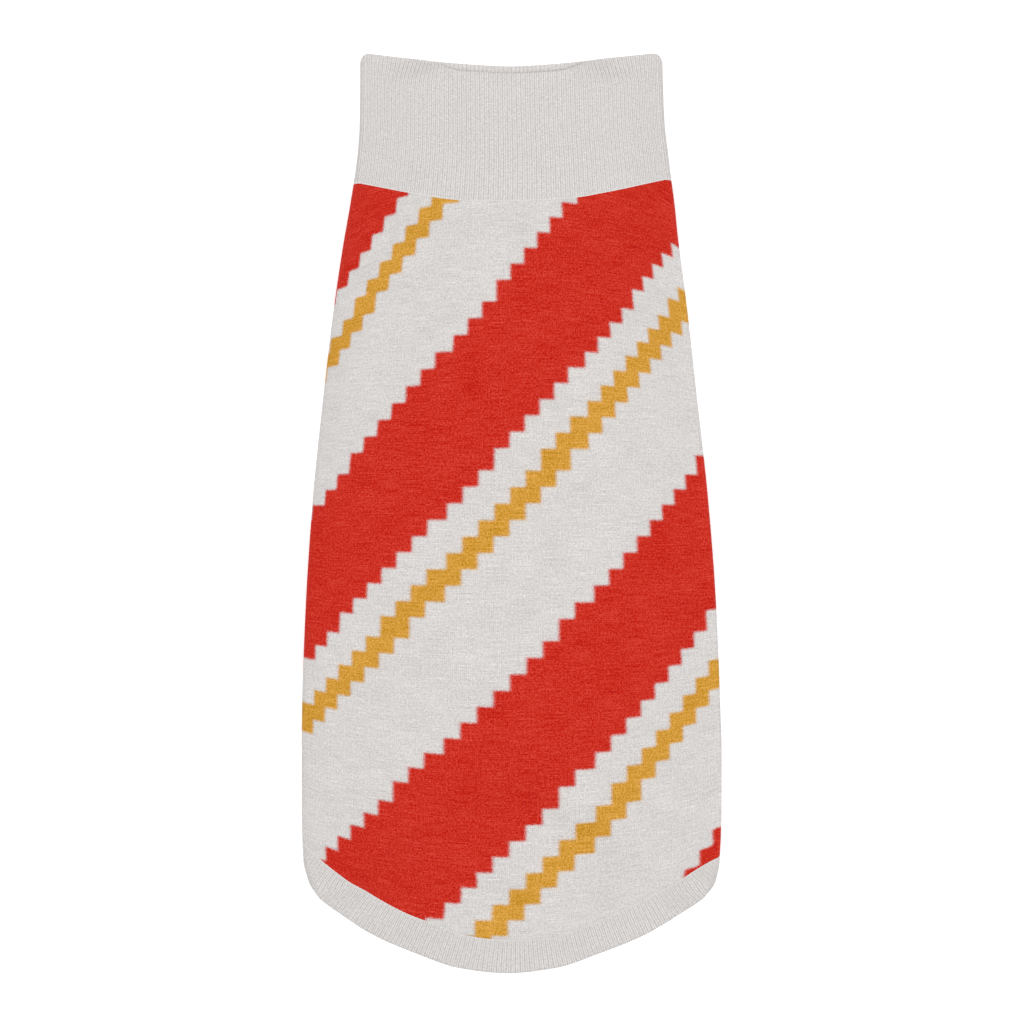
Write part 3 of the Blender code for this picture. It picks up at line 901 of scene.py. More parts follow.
hem_fold_shares = np.linspace(1.0, 2.0, HEM_FOLD_RIBS * RIB_LINES + 1)[1:]
hem_under_shares = even_shares(2.0, 3.0, HEM_UNDER_RIBS * RIB_LINES)[1:]
hem_right = np.concatenate((hem_fold_shares, hem_under_shares))
hem_upper = even_shares(-1.0, 1.0, HEM_RIBS * RIB_LINES)
hem_line = np.concatenate((-hem_right[:-1][::-1], hem_upper, hem_right))[:, None]
hem_count = len(hem_line)
hem_groove = len(hem_right) - 1 - RIB_LINES // 2
print("hem band:", hem_count // RIB_LINES, "ribs all round")

# %% Make the hem band
hem_start_girth = hem_girth(np.abs(hem_line))
hem_start_y = hem_seam(hem_line)
hem_end_girth, hem_end_y = hem_edge(np.abs(hem_line))
hem_length = np.hypot(hem_end_girth - hem_start_girth, hem_end_y - hem_start_y)
hem_down = spread(hem_length, SEAM_ROUND, EDGE_ROUND, HEM_ROWS)
hem_part = hem_down / hem_length
hem_ys = hem_start_y + (hem_end_y - hem_start_y) * hem_part
hem_reach = hem_share(hem_start_girth + (hem_end_girth - hem_start_girth) * hem_part)
hem_shares = np.copysign(hem_reach, hem_line)
hem_out, hem_in = rib_depths(hem_count, hem_groove, SEAM_ROUND, EDGE_ROUND, HEM_ROWS)
hem = make_shell(
    "hem_rib_knit",
    cloth_points(hem_shares, hem_ys, hem_out),
    cloth_points(hem_shares, hem_ys, WALL - hem_in),
    rib_map(hem_count, hem_groove, hem_down / RIB_ROW_HEIGHT),
    closed=True,
)
smooth(hem, RIB_SMOOTH_ANGLE)
hem_area, hem_flat = measure_cut(hem, cloth_points(hem_shares, hem_ys, 0.0), closed=True)

# %% [markdown]
# ## The leg bands
# Each leg hole has a ring of rib, sewn into the oval and lying flat in the lower layer. It is the
# same shell again, with its lines going round the oval and its ribs pointing to the middle.

# %% Make the leg bands
LEG_RIBS = 84
LEG_ROWS = 5


def leg_oval(side, grow, turn):
    """Points of an oval round a leg hole, grown outwards from the open hole."""
    x = leg_middles[side] + (LEG_HOLE_HALF_WIDTH + grow) * np.cos(turn)
    return x, LEG_Y + (LEG_HOLE_HALF_LENGTH + grow) * np.sin(turn)


leg_length = LEG_BAND - SEAM_GAP
leg_turns = np.linspace(0.0, 2 * math.pi, LEG_RIBS * RIB_LINES + 1)[:-1, None]
leg_in = spread(leg_length, SEAM_ROUND, EDGE_ROUND, LEG_ROWS)
leg_out_depth, leg_in_depth = rib_depths(len(leg_turns), 0, SEAM_ROUND, EDGE_ROUND, LEG_ROWS)


def make_leg_band(name, side):
    x, y = leg_oval(side, leg_length - leg_in, leg_turns)
    outer = np.stack((x, y, leg_out_depth), axis=-1)
    inner = np.stack((x, y, WALL - leg_in_depth), axis=-1)
    rows = np.broadcast_to(leg_in / RIB_ROW_HEIGHT, x.shape)
    band = make_shell(name, outer, inner, rib_map(len(leg_turns), 0, rows), closed=True)
    smooth(band, RIB_SMOOTH_ANGLE)
    flat_face = np.stack((x, y, np.zeros_like(x)), axis=-1)
    return band, cloth_area(flat_face, closed=True)


leg_left, leg_area = make_leg_band("leg_rib_left_knit", -1)
leg_right, leg_area = make_leg_band("leg_rib_right_knit", 1)
leg_flat = (leg_area / (leg_length * MM), leg_length * MM)
for band in (leg_left, leg_right):
    tell_cut(band, leg_flat)

# %% [markdown]
# ## Linking thread
# Knitwear is linked, not stitched through: a thread picks up the edge loops of both pieces and shows
# as a fine chain in the groove of the seam. One stitch is modelled from a small sphere, and copied
# along each seam. Hundreds of separate objects would be slow, so each seam's copies are one mesh.

# %% Model one stitch
STITCH_LENGTH = 3.0
STITCH_WIDTH = 0.8
STITCH_HEIGHT = 0.56
STITCH_SLANT = 8.0

bpy.ops.object.select_all(action="DESELECT")
bpy.ops.mesh.primitive_uv_sphere_add(segments=8, ring_count=6, radius=0.5, location=(0.0, 0.0, 0.0))
stitch = bpy.context.object
bpy.ops.object.mode_set(mode="EDIT")
bpy.ops.transform.rotate(value=math.radians(90.0), orient_axis="Y", center_override=(0.0, 0.0, 0.0))
bpy.ops.transform.resize(value=(STITCH_LENGTH, STITCH_WIDTH, STITCH_HEIGHT))
bpy.ops.transform.rotate(value=math.radians(STITCH_SLANT), orient_axis="Z", center_override=(0.0, 0.0, 0.0))
bpy.ops.object.mode_set(mode="OBJECT")
stitch_points = np.array([v.co for v in stitch.data.vertices])
stitch_faces = [list(face.vertices) for face in stitch.data.polygons]
bpy.data.objects.remove(stitch)
print("one stitch:", len(stitch_faces), "faces")

# %% Lay stitches along a seam
THREAD_SINK = 0.28
THREAD_SMOOTH_ANGLE = 80.0
STITCH_HOLD = 0.3


def unit(vectors):
    return vectors / np.linalg.norm(vectors, axis=-1, keepdims=True)


def along_line(at, run, line):
    """Points at distances along a line whose own points lie at the distances in run."""
    return np.stack([np.interp(at, run, line[:, k]) for k in range(3)], axis=-1)


def lay_thread(name, face, under, pitch, closed):
    """Stitches along a seam. face is its line on the outer face, and under the same line deeper down."""
    out = unit(face - under)
    line = face - THREAD_SINK * out
    if closed:
        line, out = np.concatenate((line, line[:1])), np.concatenate((out, out[:1]))
    run = np.concatenate(([0.0], np.cumsum(np.linalg.norm(np.diff(line, axis=0), axis=-1))))
    count = round(run[-1] / pitch)
    at = (np.arange(count) + 0.5) / count * run[-1]
    start, end = (along_line(at + hold, run, line) for hold in (-STITCH_HOLD, STITCH_HOLD))
    centres = (start + end) / 2
    along = unit(end - start)
    normal = along_line(at, run, out)
    aside = unit(np.cross(normal, along))
    normal = np.cross(along, aside)
    frames = np.stack((along, aside, normal), axis=1)
    points = centres[:, None, :] + np.einsum("pk,nkc->npc", stitch_points, frames)
    firsts = [n * len(stitch_points) for n in range(count)]
    faces = [[first + corner for corner in face] for first in firsts for face in stitch_faces]
    mesh = bpy.data.meshes.new(name)
    mesh.from_pydata((points.reshape(-1, 3) * MM).tolist(), [], faces)
    thread = bpy.data.objects.new(name, mesh)
    bpy.context.scene.collection.objects.link(thread)
    smooth(thread, THREAD_SMOOTH_ANGLE)
    print(name + ":", count, "stitches")
    return thread


# %% Thread the seams round the tube
THREAD_PITCH = 2.1
UNDER_DEPTH = 1.0
COLLAR_THREAD_RISE = SEAM_GAP / 3
SEAM_STEPS = 1200
ring_shares = np.linspace(-3.0, 3.0, SEAM_STEPS + 1)[1:]


def tube_thread(name, shares, ys, closed):
    face, under = (cloth_points(shares, ys, depth) for depth in (0.0, UNDER_DEPTH))
    return lay_thread(name, face, under, THREAD_PITCH, closed)


collar_ring_y = meet(lambda y: ring_shares[:, None], collar_seam, SEAM_STEPS)[:, 0] + COLLAR_THREAD_RISE
collar_thread = tube_thread("collar_seam_thread", ring_shares, collar_ring_y, closed=True)
hem_ring_y = hem_seam(ring_shares)
hem_thread = tube_thread("hem_seam_thread", ring_shares, hem_ring_y, closed=True)

# %% Thread the side seams and the leg bands
THREAD_SPARE = 1.0
leg_top = LEG_Y + LEG_HOLE_HALF_LENGTH + LEG_BAND
leg_low = LEG_Y - LEG_HOLE_HALF_LENGTH - LEG_BAND


def side_place(side):
    return lambda y: side * (3 - belly_half(y) / flat_half(y))


side_threads, leg_threads = [], []
for side, label in ((-1.0, "left"), (1.0, "right")):
    place = side_place(side)
    top = meet(place, collar_seam, 1).item()
    low = meet(place, lambda share, y: hem_seam(share), 1).item()
    for part, start, end in (("upper", top, leg_top), ("lower", leg_low, low)):
        ys = np.linspace(start - THREAD_SPARE, end + THREAD_SPARE, SEAM_STEPS)
        name = f"side_seam_thread_{part}_{label}"
        side_threads.append(tube_thread(name, place(ys), ys, closed=False))
    turns = np.linspace(0.0, 2 * math.pi, SEAM_STEPS + 1)[:-1]
    x, y = leg_oval(side, LEG_BAND - SEAM_GAP / 2, turns)
    face, under = (np.stack((x, y, np.full_like(x, z)), axis=-1) for z in (0.0, UNDER_DEPTH))
    name = f"leg_seam_thread_{label}"
    leg_threads.append(lay_thread(name, face, under, THREAD_PITCH, closed=True))

# %% [markdown]
# ## Finishes
# The knitted finishes share two effects: the stitches, whose legs slant into a V, and the heather, the
# uneven shade of spun yarn. Each effect is a node group, built once. The stitches are counted by the
# knit's map, so a stitch keeps its shape on every piece and the stripes change colour from stitch to
# stitch. Relief of every stitch in the mesh would take millions of faces, so it is bump.


# %% Helpers for nodes
def put(tree, socket, value):
    """Link a socket, or set its value."""
    if isinstance(value, bpy.types.NodeSocket):
        tree.links.new(value, socket)
    else:
        socket.default_value = value


def maths(tree, operation, *values):
    node = tree.nodes.new("ShaderNodeMath")
    node.operation = operation
    for socket, value in zip(node.inputs, values):
        put(tree, socket, value)
    return node.outputs[0]


def new_group(name, inputs, outputs):
    """Empty node group with named sockets, and its two end nodes."""
    tree = bpy.data.node_groups.new(name, "ShaderNodeTree")
    for label, kind in inputs:
        tree.interface.new_socket(label, in_out="INPUT", socket_type=kind)
    for label in outputs:
        tree.interface.new_socket(label, in_out="OUTPUT", socket_type="NodeSocketFloat")
    return tree, tree.nodes.new("NodeGroupInput"), tree.nodes.new("NodeGroupOutput")


def place_group(tree, group, **values):
    """Use of a group in a material. Spaces in its sockets' names are written as underscores."""
    node = tree.nodes.new("ShaderNodeGroup")
    node.node_tree = group
    for label, value in values.items():
        put(tree, node.inputs[label.replace("_", " ")], value)
    return node.outputs


# %% [markdown]
# ### Stitches
# A stocking stitch is a loop whose two legs lean together. Across a column the height falls at both
# sides and, as deep as asked, between the legs. Along a leg it rises over each strand. Adding the
# distance from the column's middle to the row turns the strands into a V. The column and row that
# the stripes read are frayed a little, because the fibres of neighbours cross their border. The leg
# and loop that give the yarn its shade are not.


# %% Helpers for coordinates
def vector_maths(tree, operation, first, second, socket=1):
    """Vector node on two values. socket is the second one's input: 1, or 3 for a plain factor."""
    node = tree.nodes.new("ShaderNodeVectorMath")
    node.operation = operation
    put(tree, node.inputs[0], first)
    put(tree, node.inputs[socket], second)
    return node.outputs[0]


def stirred(tree, vector, scale, amount):
    """Coordinates moved about by a noise of their own."""
    noise = tree.nodes.new("ShaderNodeTexNoise")
    noise.inputs["Scale"].default_value = scale
    noise.inputs["Detail"].default_value = 1.0
    put(tree, noise.inputs["Vector"], vector)
    centred = vector_maths(tree, "SUBTRACT", noise.outputs["Color"], (0.5, 0.5, 0.5))
    return vector_maths(tree, "ADD", vector, vector_maths(tree, "SCALE", centred, amount, socket=3))


def xyz(tree, vector):
    node = tree.nodes.new("ShaderNodeSeparateXYZ")
    put(tree, node.inputs[0], vector)
    return node.outputs


# %% The stitch group
WOBBLE_SCALE = 0.33
FRAY_SCALE = 9.0
LEG_MIDDLE = 0.25
SHOULDER_POWER = 4.0
SPLIT_SLOPE = 6.0
STRAND_POWER = 0.6
stitches, ends_in, ends_out = new_group(
    "knit_stitches",
    [
        ("Stitches", "NodeSocketVector"),
        ("Slant", "NodeSocketFloat"),
        ("Wobble", "NodeSocketFloat"),
        ("Fray", "NodeSocketFloat"),
        ("Split", "NodeSocketFloat"),
        ("Strand", "NodeSocketFloat"),
    ],
    ["Column", "Row", "Leg", "Loop", "Height", "Hollow"],
)
stitch_maths = partial(maths, stitches)
uneven = stirred(stitches, ends_in.outputs["Stitches"], WOBBLE_SCALE, ends_in.outputs["Wobble"])
split = xyz(stitches, uneven)
frayed = xyz(stitches, stirred(stitches, uneven, FRAY_SCALE, ends_in.outputs["Fray"]))
aside = stitch_maths("ABSOLUTE", stitch_maths("SUBTRACT", stitch_maths("FRACT", split[0]), 0.5))
lean = stitch_maths("MULTIPLY", stitch_maths("SUBTRACT", aside, LEG_MIDDLE), ends_in.outputs["Slant"])
strand = stitch_maths("ADD", split[1], lean)

# %% The stitch's height
fall = stitch_maths("POWER", stitch_maths("MULTIPLY", aside, 2.0), SHOULDER_POWER)
shoulder = stitch_maths("SUBTRACT", 1.0, fall)
dip = stitch_maths("MAXIMUM", stitch_maths("MULTIPLY_ADD", aside, -SPLIT_SLOPE, 1.0), 0.0)
leg = stitch_maths("SUBTRACT", shoulder, stitch_maths("MULTIPLY", dip, ends_in.outputs["Split"]))
from_strand = stitch_maths("MULTIPLY_ADD", stitch_maths("FRACT", strand), 2.0, -1.0)
bulge = stitch_maths("SUBTRACT", 1.0, stitch_maths("MULTIPLY", from_strand, from_strand))
round_bulge = stitch_maths("POWER", stitch_maths("MAXIMUM", bulge, 0.0), STRAND_POWER)
gap = stitch_maths("MULTIPLY", stitch_maths("SUBTRACT", 1.0, round_bulge), ends_in.outputs["Strand"])
height = stitch_maths("SUBTRACT", leg, stitch_maths("MULTIPLY", leg, gap))
put(stitches, ends_out.inputs["Column"], stitch_maths("FLOOR", frayed[0]))
put(stitches, ends_out.inputs["Row"], stitch_maths("FLOOR", frayed[1]))
put(stitches, ends_out.inputs["Leg"], stitch_maths("FLOOR", stitch_maths("MULTIPLY", split[0], 2.0)))
put(stitches, ends_out.inputs["Loop"], stitch_maths("FLOOR", strand))
put(stitches, ends_out.inputs["Height"], height)
put(stitches, ends_out.inputs["Hollow"], stitch_maths("SUBTRACT", 1.0, height))
print("stitch group:", len(stitches.nodes), "nodes")

# %% [markdown]
# ### Heather
# Spun yarn is never one even shade. Every loop is a little lighter or darker, short streaks run along
# the yarn, a fine grain comes from its fibres, and wide soft patches lie over the whole cloth. The
# streaks' noise is stretched along the rows in plain knit. The shares of the four add up to the tone.


# %% Stretched noise
def stretched_noise(tree, vector, stretch, scale, detail):
    noise = tree.nodes.new("ShaderNodeTexNoise")
    noise.inputs["Scale"].default_value = scale
    noise.inputs["Detail"].default_value = detail
    put(tree, noise.inputs["Vector"], vector_maths(tree, "MULTIPLY", vector, stretch))
    return noise.outputs[0]


# %% The heather group
GRAIN_STRETCH = (2.4, 1.6, 1.0)
PATCH_STRETCH = (0.7, 1.0, 1.0)
PATCH_SCALE = 0.09
heather, ends_in, ends_out = new_group(
    "heather",
    [
        ("Stitches", "NodeSocketVector"),
        ("Column", "NodeSocketFloat"),
        ("Row", "NodeSocketFloat"),
        ("Stretch", "NodeSocketVector"),
        ("Stitch Share", "NodeSocketFloat"),
        ("Streak Share", "NodeSocketFloat"),
        ("Grain Share", "NodeSocketFloat"),
        ("Patch Share", "NodeSocketFloat"),
    ],
    ["Tone"],
)
pair = heather.nodes.new("ShaderNodeCombineXYZ")
put(heather, pair.inputs[0], ends_in.outputs["Column"])
put(heather, pair.inputs[1], ends_in.outputs["Row"])
single = heather.nodes.new("ShaderNodeTexWhiteNoise")
single.noise_dimensions = "2D"
put(heather, single.inputs["Vector"], pair.outputs[0])
knit_place = ends_in.outputs["Stitches"]
streak = stretched_noise(heather, knit_place, ends_in.outputs["Stretch"], scale=1.0, detail=1.0)
grain = stretched_noise(heather, knit_place, GRAIN_STRETCH, scale=1.0, detail=0.0)
patch = stretched_noise(heather, knit_place, PATCH_STRETCH, scale=PATCH_SCALE, detail=2.0)
tone = 1.0
for noise, share in (
    (single.outputs["Value"], "Stitch Share"),
    (streak, "Streak Share"),
    (grain, "Grain Share"),
    (patch, "Patch Share"),
):
    part = maths(heather, "MULTIPLY", maths(heather, "SUBTRACT", noise, 0.5), ends_in.outputs[share])
    tone = maths(heather, "ADD", tone, part)
put(heather, ends_out.inputs["Tone"], tone)
print("heather group:", len(heather.nodes), "nodes")

# %% [markdown]
# ### The chart of the stripes
# The jacquard is a staircase of blocks: every 37 columns hold 9 blocks and every 62 rows hold 10, the
# first of them two rows higher. Each block steps the colour on by one of 24 places. Ten places are
# red, two are gold and the rest is off-white. Two counts and a remainder draw it all, with no picture.

# %% The chart group
BLOCKS_PER_COLUMN = 9 / 37
COLUMN_START = 21.0
COLUMN_NUDGE = 0.01
BLOCKS_PER_REPEAT = 10.0
ROWS_PER_REPEAT = 62.0
ROWS_PER_BLOCK = 6.0
EXTRA_ROWS = 2.0
CHART_START = 6.0
CHART_PLACES = 24.0
RED_END = 9.5
GOLD_START = 12.5
GOLD_END = 14.5

chart, ends_in, ends_out = new_group(
    "stripe_chart", [("Column", "NodeSocketFloat"), ("Row", "NodeSocketFloat")], ["Red", "Gold"]
)
chart_maths = partial(maths, chart)
first_column = COLUMN_START * BLOCKS_PER_COLUMN + COLUMN_NUDGE
column_block = chart_maths("MULTIPLY_ADD", ends_in.outputs["Column"], BLOCKS_PER_COLUMN, first_column)
repeats = chart_maths("FLOOR", chart_maths("DIVIDE", ends_in.outputs["Row"], ROWS_PER_REPEAT))
row_in_repeat = chart_maths("FLOORED_MODULO", ends_in.outputs["Row"], ROWS_PER_REPEAT)
past_extra = chart_maths("MAXIMUM", chart_maths("SUBTRACT", row_in_repeat, EXTRA_ROWS), 0.0)
block_in_repeat = chart_maths("FLOOR", chart_maths("DIVIDE", past_extra, ROWS_PER_BLOCK))
row_block = chart_maths("MULTIPLY_ADD", repeats, BLOCKS_PER_REPEAT, block_in_repeat)
block = chart_maths("ADD", chart_maths("FLOOR", column_block), row_block)
chart_place = chart_maths("FLOORED_MODULO", chart_maths("ADD", block, CHART_START), CHART_PLACES)
put(chart, ends_out.inputs["Red"], chart_maths("LESS_THAN", chart_place, RED_END))
past_start = chart_maths("GREATER_THAN", chart_place, GOLD_START)
before_end = chart_maths("LESS_THAN", chart_place, GOLD_END)
put(chart, ends_out.inputs["Gold"], chart_maths("MULTIPLY", past_start, before_end))
print("chart group:", len(chart.nodes), "nodes")

# %% [markdown]
# ### Yarn
# Yarn is matt, with a weak sheen from its loose fibres and painted shade in the hollows between its
# strands. One function gives these to any knit, so the finishes differ only in their colours and
# shares. A picture of knitted cloth would be quicker, but it would repeat, and go soft close up.

# %% Yarn colours
OFF_WHITE = (0.576, 0.551, 0.537, 1.0)
RIB_WHITE = (0.6035, 0.5775, 0.5615, 1.0)
# The rib's inside is the same yarn, painted a little darker as shade.
RIB_INSIDE_WHITE_PAINTED_SHADE = (0.572, 0.548, 0.533, 1.0)
RED = (0.502, 0.0212, 0.0085, 1.0)
GOLD = (0.542, 0.2695, 0.0342, 1.0)
THREAD_WHITE = (0.585, 0.562, 0.545, 1.0)
SHEEN = 0.06
SHEEN_ROUGHNESS = 0.35
SPECULAR = 0.15


def new_material(name, colour, roughness, sheen):
    """New material, with its node tree and its shader."""
    material = bpy.data.materials.new(name)
    material.use_nodes = True
    shader = material.node_tree.nodes["Principled BSDF"]
    shader.inputs["Base Color"].default_value = colour
    shader.inputs["Roughness"].default_value = roughness
    shader.inputs["Sheen Weight"].default_value = sheen
    shader.inputs["Sheen Roughness"].default_value = SHEEN_ROUGHNESS
    shader.inputs["Specular IOR Level"].default_value = SPECULAR
    return material, material.node_tree, shader


def knit_map(tree):
    node = tree.nodes.new("ShaderNodeUVMap")
    node.uv_map = KNIT_MAP
    return node.outputs[0]


def mix_colour(tree, share, first, second):
    node = tree.nodes.new("ShaderNodeMix")
    node.data_type = "RGBA"
    sockets = [s for s in node.inputs if s.type == "RGBA"]
    put(tree, node.inputs[0], share)
    put(tree, sockets[0], first)
    put(tree, sockets[1], second)
    return [s for s in node.outputs if s.type == "RGBA"][0]


# %% From yarn to finish
FIBRE_WHITE = 0.15
DEEPEST = 0.002
YARN_ROUGHNESS = 0.82
HOLLOW_ROUGHNESS = 0.12


def finish_yarn(tree, shader, colour, tone, stitch, painted_hollow_shade, bump_depth):
    """Tint a yarn's colour by its tone, paint shade into its hollows, whiten its loose fibres and raise its
    stitches.
    """
    # Painted shade: the colour is darkened in the stitch's hollows, where shade falls between the strands.
    painted_shade = maths(tree, "MULTIPLY_ADD", stitch["Hollow"], -painted_hollow_shade, 1.0)
    shade = maths(tree, "MULTIPLY", tone, painted_shade)
    shaded = vector_maths(tree, "SCALE", colour, shade, socket=3)
    fibres = tree.nodes.new("ShaderNodeCombineXYZ")
    loose = maths(tree, "MULTIPLY_ADD", tone, FIBRE_WHITE, -FIBRE_WHITE)
    for socket in fibres.inputs:
        put(tree, socket, loose)
    fuzzy = vector_maths(tree, "ADD", shaded, fibres.outputs[0])
    yarn = vector_maths(tree, "MAXIMUM", fuzzy, (DEEPEST, DEEPEST, DEEPEST))
    put(tree, shader.inputs["Base Color"], yarn)
    rough = maths(tree, "MULTIPLY_ADD", stitch["Hollow"], HOLLOW_ROUGHNESS, YARN_ROUGHNESS)
    put(tree, shader.inputs["Roughness"], rough)
    bump = tree.nodes.new("ShaderNodeBump")
    bump.inputs["Distance"].default_value = bump_depth * MM
    put(tree, bump.inputs["Height"], stitch["Height"])
    put(tree, shader.inputs["Normal"], bump.outputs[0])


# %% [markdown]
# ### Jacquard
# Jacquard carries three yarns through the cloth. On the face the chart says which one shows, and the
# gold is the most mottled. The other two lie behind it, so the inside is a speckle of all three, each
# in its turn. The same groups make both sides, and only the speckle takes the place of the chart.

# %% Jacquard's face
ALONG_ROWS = (0.14, 4.4, 1.0)
GOLD_MOTTLE = 0.45
jacquard, tree, shader = new_material("jacquard_knit", OFF_WHITE, roughness=0.88, sheen=SHEEN)
place = knit_map(tree)
stitch = place_group(
    tree, stitches, Stitches=place, Slant=0.4, Wobble=0.22, Fray=3.4, Split=0.8, Strand=0.5
)
stripe = place_group(tree, chart, Column=stitch["Column"], Row=stitch["Row"])
tone = place_group(
    tree, heather, Stitches=place, Column=stitch["Leg"], Row=stitch["Loop"],
    Stretch=ALONG_ROWS, Stitch_Share=0.07, Streak_Share=0.43, Grain_Share=0.4, Patch_Share=0.1,
)["Tone"]
mottle = maths(tree, "MULTIPLY_ADD", stripe["Gold"], GOLD_MOTTLE, 1.0)
tone = maths(tree, "MULTIPLY_ADD", maths(tree, "SUBTRACT", tone, 1.0), mottle, 1.0)
yarn = mix_colour(tree, stripe["Gold"], mix_colour(tree, stripe["Red"], OFF_WHITE, RED), GOLD)
finish_yarn(tree, shader, yarn, tone, stitch, painted_hollow_shade=0.13, bump_depth=0.15)
print("jacquard:", len(tree.nodes), "nodes")

# %% The jacquard's inside
SPECKLE_TURNS = 3.0
RED_TURN_END = 0.5
GOLD_TURN_START = 1.5
jacquard_inside, tree, shader = new_material("jacquard_inside", OFF_WHITE, roughness=0.9, sheen=SHEEN)
place = knit_map(tree)
stitch = place_group(
    tree, stitches, Stitches=place, Slant=0.0, Wobble=0.3, Fray=0.4, Split=0.0, Strand=0.5
)
turn = maths(tree, "FLOORED_MODULO", maths(tree, "ADD", stitch["Column"], stitch["Row"]), SPECKLE_TURNS)
tone = place_group(
    tree, heather, Stitches=place, Column=stitch["Column"], Row=stitch["Row"],
    Stretch=ALONG_ROWS, Stitch_Share=0.1, Streak_Share=0.4, Grain_Share=0.2, Patch_Share=0.05,
)["Tone"]
speckle = mix_colour(tree, maths(tree, "LESS_THAN", turn, RED_TURN_END), OFF_WHITE, RED)
speckle = mix_colour(tree, maths(tree, "GREATER_THAN", turn, GOLD_TURN_START), speckle, GOLD)
finish_yarn(tree, shader, speckle, tone, stitch, painted_hollow_shade=0.25, bump_depth=0.25)
print("jacquard's inside:", len(tree.nodes), "nodes")

# %% [markdown]
# ### Rib and linking thread
# The rib is knitted from the off-white yarn alone. Its outside shows fine slanting strands with painted
# shade in the hollows between the ribs' legs, and its inside is smoother and painted a little darker as
# shade. The thread in the seams is plain yarn, too fine to show more than its colour.

# %% The rib's two faces
RIB_STRETCH = (1.5, 3.5, 1.0)


def rib_finish(name, white, slant, split, painted_hollow_shade):
    material, tree, shader = new_material(name, white, roughness=0.88, sheen=SHEEN)
    place = knit_map(tree)
    stitch = place_group(
        tree, stitches, Stitches=place, Slant=slant, Wobble=0.1, Fray=0.5, Split=split, Strand=0.15
    )
    tone = place_group(
        tree, heather, Stitches=place, Column=stitch["Leg"], Row=stitch["Loop"],
        Stretch=RIB_STRETCH, Stitch_Share=0.05, Streak_Share=0.2, Grain_Share=0.3, Patch_Share=0.05,
    )["Tone"]
    finish_yarn(tree, shader, white[:3], tone, stitch, painted_hollow_shade, bump_depth=0.1)
    return material


rib = rib_finish("rib_knit", RIB_WHITE, slant=0.6, split=0.75, painted_hollow_shade=0.38)
rib_inside = rib_finish("rib_inside", RIB_INSIDE_WHITE_PAINTED_SHADE, slant=0.0, split=0.0, painted_hollow_shade=0.2)
print("rib:", len(rib.node_tree.nodes), "nodes")

# %% The thread, and which piece wears what
thread_yarn, tree, shader = new_material("linking_thread", THREAD_WHITE, roughness=0.85, sheen=SHEEN)
for piece in (back_panel, belly_panel):
    piece.data.materials.append(jacquard)
    piece.data.materials.append(jacquard_inside)
for piece in (collar, hem, leg_left, leg_right):
    piece.data.materials.append(rib)
    piece.data.materials.append(rib_inside)
for piece in (collar_thread, hem_thread, *side_threads, *leg_threads):
    piece.data.materials.append(thread_yarn)
print("materials:", [m.name for m in (jacquard, jacquard_inside, rib, rib_inside, thread_yarn)])

# %% [markdown]
# ## Each piece stands for its solid
# The visual pieces take the place of the plain solids, ride on the garment's one body, and say how
# large their cloth was cut before it was sewn.

# %% Replace, ride and add up the cloth
TABLE_TOP = "table_top"
for piece, node, finish_slot in (
    (back_panel, "back_panel", "jacquard_knit"),
    (belly_panel, "belly_panel", "jacquard_knit"),
    (collar, "collar", "rib_knit"),
    (hem, "hem_rib", "rib_knit"),
    (leg_left, "leg_rib_left", "rib_knit"),
    (leg_right, "leg_rib_right", "rib_knit"),
):
    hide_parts(node)
    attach(piece, "root")
for thread in (collar_thread, hem_thread, *side_threads, *leg_threads):
    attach(thread, "root")

cut_area = back_area + belly_area + collar_area + hem_area + 2 * leg_area
print("cloth in all:", round(cut_area, 3), "square metres")

# %% [markdown]
# ## Table, light and camera
# The sweater lies on a plain white table, under a pale sky and one wide soft light overhead. A weaker
# light from one side lets the knit show, and one from the other side keeps the far edge bright. The
# camera looks straight down through a long lens, so the flat garment keeps its true proportions.

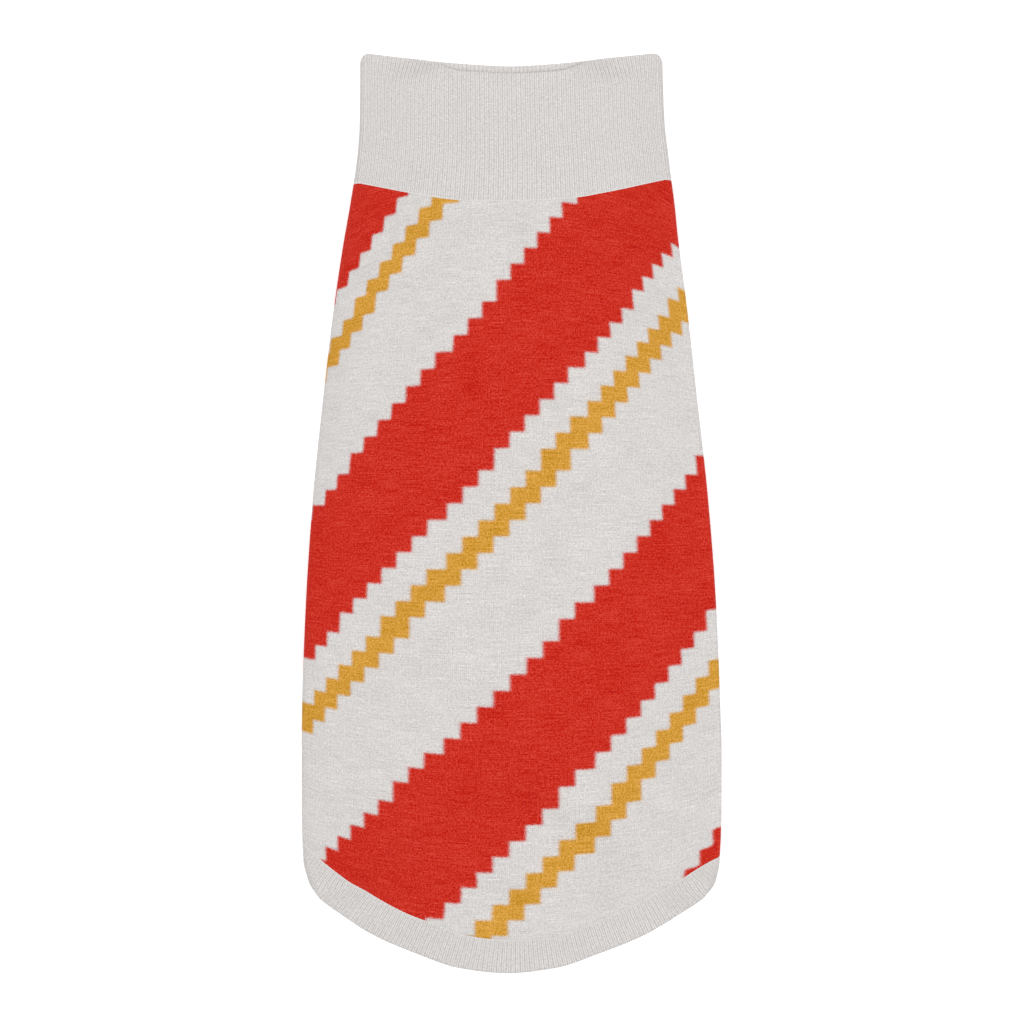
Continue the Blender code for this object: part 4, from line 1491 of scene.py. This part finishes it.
# %% The table
TABLE_SIZE = 12.0
TABLE_WHITE = (0.93, 0.93, 0.93, 1.0)
TABLE_GLOW = 0.2
PURE_WHITE = (1.0, 1.0, 1.0, 1.0)
bpy.ops.object.select_all(action="DESELECT")
bpy.ops.mesh.primitive_plane_add(size=TABLE_SIZE, location=(0.0, 0.0, 0.0))
table = bpy.context.object
table.name = TABLE_TOP
table_paint, tree, shader = new_material("table_white", TABLE_WHITE, roughness=0.9, sheen=0.0)
shader.inputs["Emission Color"].default_value = PURE_WHITE
shader.inputs["Emission Strength"].default_value = TABLE_GLOW
table.data.materials.append(table_paint)
print("the table is", TABLE_SIZE, "m wide")

# %% Sky and lights
SKY_STRENGTH = 0.67
world = bpy.data.worlds.new("studio")
bpy.context.scene.world = world
world.use_nodes = True
background = world.node_tree.nodes["Background"]
background.inputs["Color"].default_value = PURE_WHITE
background.inputs["Strength"].default_value = SKY_STRENGTH


def soft_light(name, location, size, power):
    """Square light that shines at the garment and stays out of the picture."""
    lamp = bpy.data.lights.new(name, "AREA")
    lamp.size = size
    lamp.energy = power
    light = bpy.data.objects.new(name, lamp)
    light.location = location
    light.rotation_euler = light.location.to_track_quat("Z", "Y").to_euler()
    light.visible_camera = False
    bpy.context.scene.collection.objects.link(light)


soft_light("overhead", location=(0.0, 0.0, 2.2), size=2.4, power=28.5)
soft_light("side_light", location=(-1.1, 1.3, 2.0), size=0.6, power=10.5)
soft_light("fill_light", location=(1.4, 0.3, 1.7), size=0.8, power=8.0)

# %% Camera
LENS = 211.0
SENSOR = 36.0
VIEW_WIDTH = 0.512
VIEW_MIDDLE_X = 0.00015
VIEW_MIDDLE_Y = 0.00085
VIEW_END = 50.0
CLOTH_TOP = 0.0045
lens_distance = VIEW_WIDTH * LENS / SENSOR
camera_data = bpy.data.cameras.new("overhead_camera")
camera_data.lens = LENS
camera_data.sensor_width = SENSOR
camera_data.clip_end = VIEW_END
camera = bpy.data.objects.new("overhead_camera", camera_data)
camera.location = (VIEW_MIDDLE_X, VIEW_MIDDLE_Y, CLOTH_TOP + lens_distance)
bpy.context.scene.collection.objects.link(camera)
bpy.context.scene.camera = camera
bpy.context.scene.view_settings.view_transform = "Standard"
bpy.context.scene.view_settings.look = "None"
print("camera", round(lens_distance, 3), "m above the cloth")
